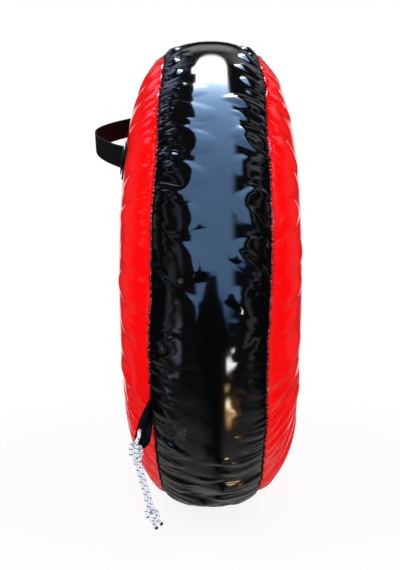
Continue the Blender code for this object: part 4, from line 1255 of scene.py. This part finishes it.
def floorRise(y, z):
    # small swells between the hems: puckers · sin(46·angle) inside the ring seam, a soft
    # crown between slot and rim, and a turned hem beside the slot
    radius = np.hypot(y, z)
    angle = np.arctan2(z, y)
    pucker = seatFloor["pucker"] * bell(radius - 0.136, 0.007) * np.sin(
        seatFloor["puckers"] * angle + 2 * np.sin(5 * angle))
    crown = smoothStep(np.abs(y), 0.014, 0.05) * (1 - smoothStep(radius, 0.10, 0.14))
    groove = (bell(np.abs(y) - seatFloor["hemSlot"], seatFloor["sunkWidth"])
              * (1 - smoothStep(np.abs(z), 0.115, 0.125)))
    ring = bell(radius - seatFloor["hemRadius"], seatFloor["sunkWidth"])
    return pucker + seatFloor["crown"] * crown - seatFloor["sunk"] * (groove + ring)


def makeSeatFloor():
    t = np.linspace(-1, 1, seatFloor["rows"])[:, None] * math.pi / 2
    s = np.linspace(0, 1, seatFloor["columns"])
    s = s * (1 + 0.35 * (1 - s))
    z = seatFloor["radius"] * np.sin(t)
    rim = seatFloor["radius"] * np.cos(t)
    inner = np.clip((seatFloor["slotEnd"] - np.abs(z)) / seatFloor["nip"], 0, 1)
    inner = np.minimum(seatFloor["slotHalf"] * inner ** 0.5, rim)
    y, z = np.broadcast_arrays(inner + (rim - inner) * s, z)
    both = bmesh.new()
    for sign in (1, -1):
        x = -(seatFloor["face"] - seatFloor["wall"] / 2) - floorRise(sign * y, z)
        points = together(x, sign * y, z + tube["axisHeight"])
        half = meshFromGrid("half", points, flipped=(sign > 0))
        both.from_mesh(half)
        bpy.data.meshes.remove(half)
    data = bpy.data.meshes.new("seatFloor")
    both.to_mesh(data)
    both.free()
    piece = addPiece(mergePoles(data), floorVinyl(), "cover")
    addWall(piece, seatFloor["wall"])
    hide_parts("seat_floor")

    # a ring of stitches on its hem and a row on each side of the slot
    ring = seatFloor["ring"]
    count = round(fullTurn * seatFloor["hemRadius"] / ring["pitch"])
    angle = np.arange(count) * fullTurn / count
    rows = [together(np.cos(angle), np.sin(angle)) * seatFloor["hemRadius"]]
    ways = [together(-np.sin(angle), np.cos(angle))]
    long = np.arange(-seatFloor["hemEnd"], seatFloor["hemEnd"] + 0.0001, ring["pitch"])
    for side in (-1, 1):
        rows.append(together(side * seatFloor["hemSlot"], long))
        ways.append(np.broadcast_to([0.0, 1.0], rows[-1].shape))
    (y, z), way = np.vstack(rows).T, np.vstack(ways)
    spots = together(-seatFloor["face"] - floorRise(y, z), y, z + tube["axisHeight"])
    ahead = np.column_stack([np.zeros(len(way)), way])
    up = np.broadcast_to([-1.0, 0.0, 0.0], spots.shape)
    data = domes("seatFloorStitches", spots, ahead, up, ring["size"])
    stitches = addPiece(data, webThread, "cover")
    print("seat floor made")


def tapeWeave():
    # woven polyester zip tape: fine ribs 0.9 mm apart along its length, drawn half as coarse
    # again as they are so that they show, with a soft dull sheen
    finish, tree, shader = startMaterial("wovenZipTape", {
        "Roughness": 0.8, "Specular IOR Level": 0.2, "Sheen Weight": 0.1})
    spot = addNode(tree, "UVMap", {"uv_map": "surface"})
    split = addNode(tree, "SeparateXYZ", inputs={0: spot})
    bands = []
    for axis, pitch in ((0, 1.3), (1, 0.9)):
        turned = addNode(tree, "Math", {"operation": "MULTIPLY"},
                         {0: split.outputs[axis], 1: fullTurn / pitch})
        bands.append(addNode(tree, "Math", {"operation": "SINE"},
                             {0: turned}))
    weave = addNode(tree, "Math", {"operation": "MULTIPLY"},
                    {0: bands[0], 1: bands[1]})
    level = addNode(tree, "MapRange", inputs={0: weave, 1: -1.0, 2: 1.0})
    shade = addNode(tree, "Mix", {"data_type": "RGBA"}, {
        0: level, 6: linear("#0c0c0e"), 7: linear("#1c1c20")})
    relief = addNode(tree, "Bump", inputs={
        "Strength": 0.6, "Distance": 0.0002, "Height": weave})
    feed(tree, shader, {"Base Color": shade.outputs[2], "Normal": relief})
    return finish


tape = {
    "edge": 0.0018,
    "width": 0.0182,
    "end": 0.128,
    "level": 0.1143,
    "wall": 0.00072,
    "rows": 130,
    "columns": 22,
    "cordEdge": (0.00015, 0.0008, 0.0006),   # height, place and width
    "ripple": (0.00012, 420, 0.006),         # height, waves and ease
}


def makeTapes():
    # each tape is a flat strip with a corded edge along the teeth and soft cross ripples
    weave = tapeWeave()
    z = np.linspace(-tape["end"], tape["end"], tape["rows"])[:, None]
    off = np.linspace(0, tape["width"], tape["columns"])
    high, place, wide = tape["cordEdge"]
    swell, waves, ease = tape["ripple"]
    x = -(tape["level"] + high * bell(off - place, wide)
          + swell * np.sin(z * waves) * np.clip(off / ease, 0, 1))
    for side, word in ((-1, "front"), (1, "rear")):
        points = together(x, side * (tape["edge"] + off), z + tube["axisHeight"])
        data = meshFromGrid(word + "ZipTape", points, maps=together(z * 1000, off * 1000),
                            flipped=(side > 0))
        piece = addPiece(data, weave, "cover")
        addWall(piece, tape["wall"])
        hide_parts("zip_tape_" + word)
    print("zip tapes made")


def plainFinish(name, values, shades, scale, bump):
    # a body colour that drifts between two shades, and a fine grain at the scale given
    finish, tree, shader = startMaterial(name, values)
    spot = addNode(tree, "TexCoord")
    grain = addNode(tree, "TexNoise", inputs={
        "Vector": spot.outputs["Object"], "Scale": scale, "Detail": 4.0, "Roughness": 0.6})
    shade = addNode(tree, "Mix", {"data_type": "RGBA"}, {
        0: grain, 6: linear(shades[0]), 7: linear(shades[1])})
    relief = addNode(tree, "Bump", inputs={
        "Strength": 0.4, "Distance": bump, "Height": grain})
    feed(tree, shader, {"Base Color": shade.outputs[2], "Normal": relief})
    return finish


def dressNodes():
    # acetal teeth: moulded, waxy black; die-cast zinc: sandy grey under a clear plate;
    # butyl: dull black with talc bloom; turned brass and plated steel on the valve;
    # polypropylene cap: moulded with a fine grain; binding tape: dull woven black
    dressed = (
        (("zip_teeth_front", "zip_teeth_rear"),
         plainFinish("mouldedAcetal", {"Roughness": 0.38, "IOR": 1.48},
                     ("#0d0d0f", "#17171a"), 600.0, 0.0002)),
        (("zip_stop_upper", "zip_stop_lower", "zip_slider", "zip_pull"),
         plainFinish("dieCastZinc", {"Metallic": 1.0, "Roughness": 0.32},
                     ("#8f9093", "#a9aaad"), 900.0, 0.0002)),
        (("inner_tube", "valve_base"),
         plainFinish("talcedButyl", {"Roughness": 0.7, "IOR": 1.52},
                     ("#141415", "#232324"), 60.0, 0.0004)),
        (("valve_stem",),
         plainFinish("turnedBrass", {"Metallic": 1.0, "Roughness": 0.3},
                     ("#b98f45", "#d3ab62"), 700.0, 0.0001)),
        (("valve_core",),
         plainFinish("platedSteel", {"Metallic": 1.0, "Roughness": 0.28},
                     ("#a5a7aa", "#c2c4c7"), 700.0, 0.0001)),
        (("valve_cap",),
         plainFinish("mouldedPolypropylene", {"Roughness": 0.42, "IOR": 1.49},
                     ("#101011", "#1a1a1c"), 800.0, 0.0002)),
        (("seat_seam_binding", "back_seam_binding"),
         plainFinish("wovenBinding", {"Roughness": 0.85, "Sheen Weight": 0.1},
                     ("#0e0e10", "#1d1d20"), 1200.0, 0.0003)),
    )
    for nodes, finish in dressed:
        for node in nodes:
            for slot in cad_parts[node].material_slots:
                slot.material = finish
    print("hidden and hard pieces finished")


makeSeatFloor()
makeTapes()
dressNodes()


# floor, backdrop and light
studio = {
    "floorHalf": 6.0,
    "tentRadius": 3.0,
    "worldFill": 0.55,
    "ambient": (0.012, 0.012, 0.013),
    "opening": (0.8, 0.42),   # behind the object: from this depth, and its half width
    "whiten": (0.35, 1.2, 0.88, 1.0),   # distances, and how white the floor is there
    # name, place, size, power
    "lamps": (
        ("leftBox", (-1.9, -0.7, 1.7), (1.2, 1.4), 24.0),
        ("rightBox", (1.9, -0.7, 1.7), (1.2, 1.4), 24.0),
        ("frontBox", (0.0, -2.6, 2.6), (2.0, 1.4), 20.0),
    ),
    # the long card from over the object's top down to the camera's level: elevation, left
    # and right edge in degrees, and colour
    "strip": (
        (-24, -8.0, 14.0, 0.2, 0.5, 1.1), (-12, -9.5, 18.5, 0.75, 1.5, 3.2),
        (-4, -11.5, 19.0, 1.1, 2.1, 3.9),
        (4, -15.0, 19.0, 1.2, 2.25, 4.1), (25, -15.5, 18.5, 1.25, 2.35, 4.2),
        (40, -14.0, 18.5, 1.35, 2.5, 4.5), (46, -11.0, 19.0, 1.45, 2.7, 4.9),
        (66, -10.3, 18.4, 2.2, 3.9, 6.8),
        (77, -11.0, 14.0, 3.2, 5.4, 9.0), (86, -9.0, 10.6, 6.4, 9.2, 13.0),
        (93, -7.5, 9.0, 15.0, 17.0, 20.0), (98, -7.0, 7.9, 25.0, 25.0, 25.0),
        (105, -6.7, 7.0, 18.0, 18.0, 18.0), (111, -4.2, 5.0, 7.0, 7.0, 7.0),
        (115, -1.0, 1.6, 3.0, 3.0, 3.0),
    ),
    # the photographer's dark shape in it: elevation, left and right edge
    "gap": ((-30, -12.0, 16.0), (-22, -10.0, 12.0), (-13, -6.0, 8.0), (-9, -4.4, 5.0),
            (0, -0.8, 3.2), (8, 1.3, 1.7)),
    # the lit floor in front: elevation and level
    "ground": ((-135, 0.38), (-118, 0.38), (-104, 0.32), (-92, 0.3), (-80, 0.27), (-68, 0.2),
               (-56, 0.1), (-44, 0.04)),
    # other cards: place, half size and softness as angle and elevation, and colour
    "cards": (
        ((-31, 24), (2.5, 26), (4, 30), (0.34, 0.43, 0.60)),
        ((-49, 40), (2, 34), (5, 40), (0.34, 0.37, 0.40)),
        ((-68, 30), (4, 34), (8, 40), (0.12, 0.13, 0.14)),
        ((-42, -20), (4, 26), (8, 24), (0.40, 0.44, 0.50)),
        ((35, 26), (2.5, 30), (4, 34), (0.50, 0.60, 0.78)),
        ((53, 40), (2, 34), (5, 40), (0.42, 0.44, 0.46)),
        ((70, 30), (4, 34), (8, 40), (0.12, 0.13, 0.14)),
        ((38, -28), (4, 20), (8, 20), (0.50, 0.52, 0.54)),
        ((-37, 66), (6, 7), (6, 8), (1.7, 2.2, 3.0)),
        ((40, 62), (9, 12), (10, 14), (0.8, 0.9, 1.0)),
        ((-30, 112), (16, 10), (14, 10), (0.7, 0.9, 1.3)),
        ((26, 120), (18, 10), (14, 10), (0.5, 0.53, 0.56)),
        ((0, 126), (9, 5), (6, 6), (0.6, 0.6, 0.6)),
        ((-30, -32), (3, 14), (5, 14), (1.0, 1.2, 1.5)),
        ((13.8, -38.5), (2.2, 2.7), (2, 3), (22, 22, 22)),
        ((11.5, -49), (1.8, 1.0), (3, 3), (9, 5.5, 2.2)),
        ((12, -57), (1.7, 2.0), (3, 4), (26, 20, 12)),
        ((12.5, -62), (2.0, 6), (5, 8), (9, 5.5, 2.2)),
        ((18, -62), (4, 8), (9, 10), (1.0, 0.55, 0.26)),
        ((-74, 66), (2.5, 24), (5, 40), (0.7, 0.7, 0.73)),
        ((74, 66), (2.5, 24), (5, 40), (0.7, 0.7, 0.73)),
        ((-60, 180), (16, 60), (14, 40), (0.11, 0.11, 0.115)),
        ((60, 180), (16, 60), (14, 40), (0.11, 0.11, 0.115)),
    ),
}


def rampUp(value, edge, soft):
    return smoothStep(value, edge - soft / 2, edge + soft / 2)


def tentLight(out, rise):
    # the brightness of the tent at an angle out of the middle plane and an elevation: the
    # brightest of the long card, the floor's light and the small cards there
    def column(name, i):
        table = np.array(studio[name]).T
        return np.interp(rise, table[0], table[i])
    light = np.full(out.shape + (3,), studio["ambient"])
    left, right, *colour = [column("strip", i) for i in range(1, 6)]
    soft = np.interp(rise, [45, 75], [9.0, 2.8])
    mask = rampUp(out, left, 1.2) * (1 - rampUp(out, right, soft))
    mask = mask * rampUp(rise, -22, 8) * (1 - rampUp(rise, 115, 3))
    low, high = column("gap", 1), column("gap", 2)
    mask = mask * (1 - rampUp(out, low, 1.0) * (1 - rampUp(out, high, 2.0)) * (rise < 8))
    light = np.maximum(light, mask[..., None] * together(*colour))
    level = column("ground", 1) * (1 - smoothStep(np.abs(out), 34, 56))
    level = level * (1 - bell(out - 3, 1.5 + (rise + 125) * 0.06) * smoothStep(rise, -112, -92))
    light = np.maximum(light, level[..., None] * np.array([1.0, 0.97, 0.94]))
    for (x, y), (halfX, halfY), (softX, softY), colour in studio["cards"]:
        mask = (1 - rampUp(np.abs(out - x), halfX, softX)) * (
            1 - rampUp(np.abs(rise - y), halfY, softY))
        light = np.maximum(light, mask[..., None] * np.array(colour))
    return light


def makeStudio():
    half = studio["floorHalf"]
    corners = together(*np.meshgrid([-half, half], [-half, half]), 0.0)
    finish, tree, shader = startMaterial("paintedFloor", {
        "Base Color": linear("#fafafa"), "Roughness": 0.9, "Specular IOR Level": 0.0})
    path = addNode(tree, "LightPath")
    glow = addNode(tree, "Emission", inputs={"Color": (1, 1, 1, 1), "Strength": 1.0})
    # the floor turns to plain white away from the object, so no horizon shows
    spot = addNode(tree, "TexCoord")
    far = addNode(tree, "VectorMath", {"operation": "LENGTH"},
                  {0: spot.outputs["Object"]})
    white = addNode(tree, "MapRange", {"interpolation_type": "SMOOTHSTEP"}, {
        0: far.outputs["Value"], **dict(enumerate(studio["whiten"], 1))})
    share = addNode(tree, "Math", {"operation": "MULTIPLY"},
                    {0: path.outputs["Is Camera Ray"], 1: white})
    mixed = addNode(tree, "MixShader", inputs={
        0: share, 1: shader, 2: glow})
    feed(tree, tree.nodes["Material Output"], {0: mixed})
    floor = addPiece(meshFromGrid("floor", corners), finish, None)
    floor.visible_glossy = False

    world = bpy.data.worlds.new("studio")
    bpy.context.scene.world = world
    world.use_nodes = True
    tree = world.node_tree
    path = addNode(tree, "LightPath")
    seen = addNode(tree, "Math", {"operation": "MAXIMUM"}, {
        0: path.outputs["Is Camera Ray"], 1: path.outputs["Is Glossy Ray"]})
    seen = addNode(tree, "Math", {"operation": "MAXIMUM"}, {
        0: seen, 1: path.outputs["Is Transmission Ray"]})
    level = addNode(tree, "MapRange", inputs={
        0: seen, 3: studio["worldFill"], 4: 1.0})
    feed(tree, tree.nodes["Background"], {"Color": (1, 1, 1, 1), "Strength": level})

    # a dark tent seen only in reflections, with an opening behind the object. Its columns
    # are angles out of the middle plane and its rows elevations, turned on over the top to
    # the back, and its light is an attribute of its points
    out = np.concatenate([np.linspace(-90, -32, 30)[:-1], np.linspace(-32, 32, 161),
                          np.linspace(32, 90, 30)[1:]])
    rise = np.linspace(-135, 225, 401)
    a, r = np.meshgrid(out, rise)
    size = studio["tentRadius"]
    points = size * roundTube(1, np.radians(r), np.sin(np.radians(a)), np.cos(np.radians(a)))
    data = meshFromGrid("tent", points + middle)
    layer = data.color_attributes.new(name="light", type="FLOAT_COLOR", domain="POINT")
    glowing = np.concatenate([tentLight(a, r), np.ones(a.shape + (1,))], -1)
    layer.data.foreach_set("color", glowing.astype(np.float32).ravel())
    deep, wide = studio["opening"]
    reworked(data, lambda shape: bmesh.ops.delete(shape, context="VERTS", geom=[
        v for v in shape.verts if v.co.y > deep * size and abs(v.co.x) < wide * size]))
    finish = bpy.data.materials.new("darkTent")
    finish.use_nodes = True
    finish.cycles.emission_sampling = "NONE"
    tree = finish.node_tree
    tree.nodes.remove(tree.nodes["Principled BSDF"])
    stored = addNode(tree, "Attribute", {"attribute_name": "light"})
    glow = addNode(tree, "Emission", inputs={
        "Color": stored.outputs["Color"], "Strength": 1.0})
    feed(tree, tree.nodes["Material Output"], {0: glow})
    tent = addPiece(data, finish, None)
    tent.visible_camera = False
    tent.visible_diffuse = False
    tent.visible_shadow = False
    tent.visible_transmission = False

    for name, spot, size, power in studio["lamps"]:
        lamp = bpy.data.lights.new(name, "AREA")
        lamp.shape = "RECTANGLE"
        lamp.size, lamp.size_y = size
        lamp.energy = power
        item = bpy.data.objects.new(name, lamp)
        item.location = spot
        way = np.array(spot) - middle
        item.rotation_euler = (math.atan2(math.hypot(way[0], way[1]), way[2]), 0,
                               math.atan2(way[0], -way[1]))
        bpy.context.scene.collection.objects.link(item)
        item.visible_glossy = False
    print("studio made")


makeStudio()
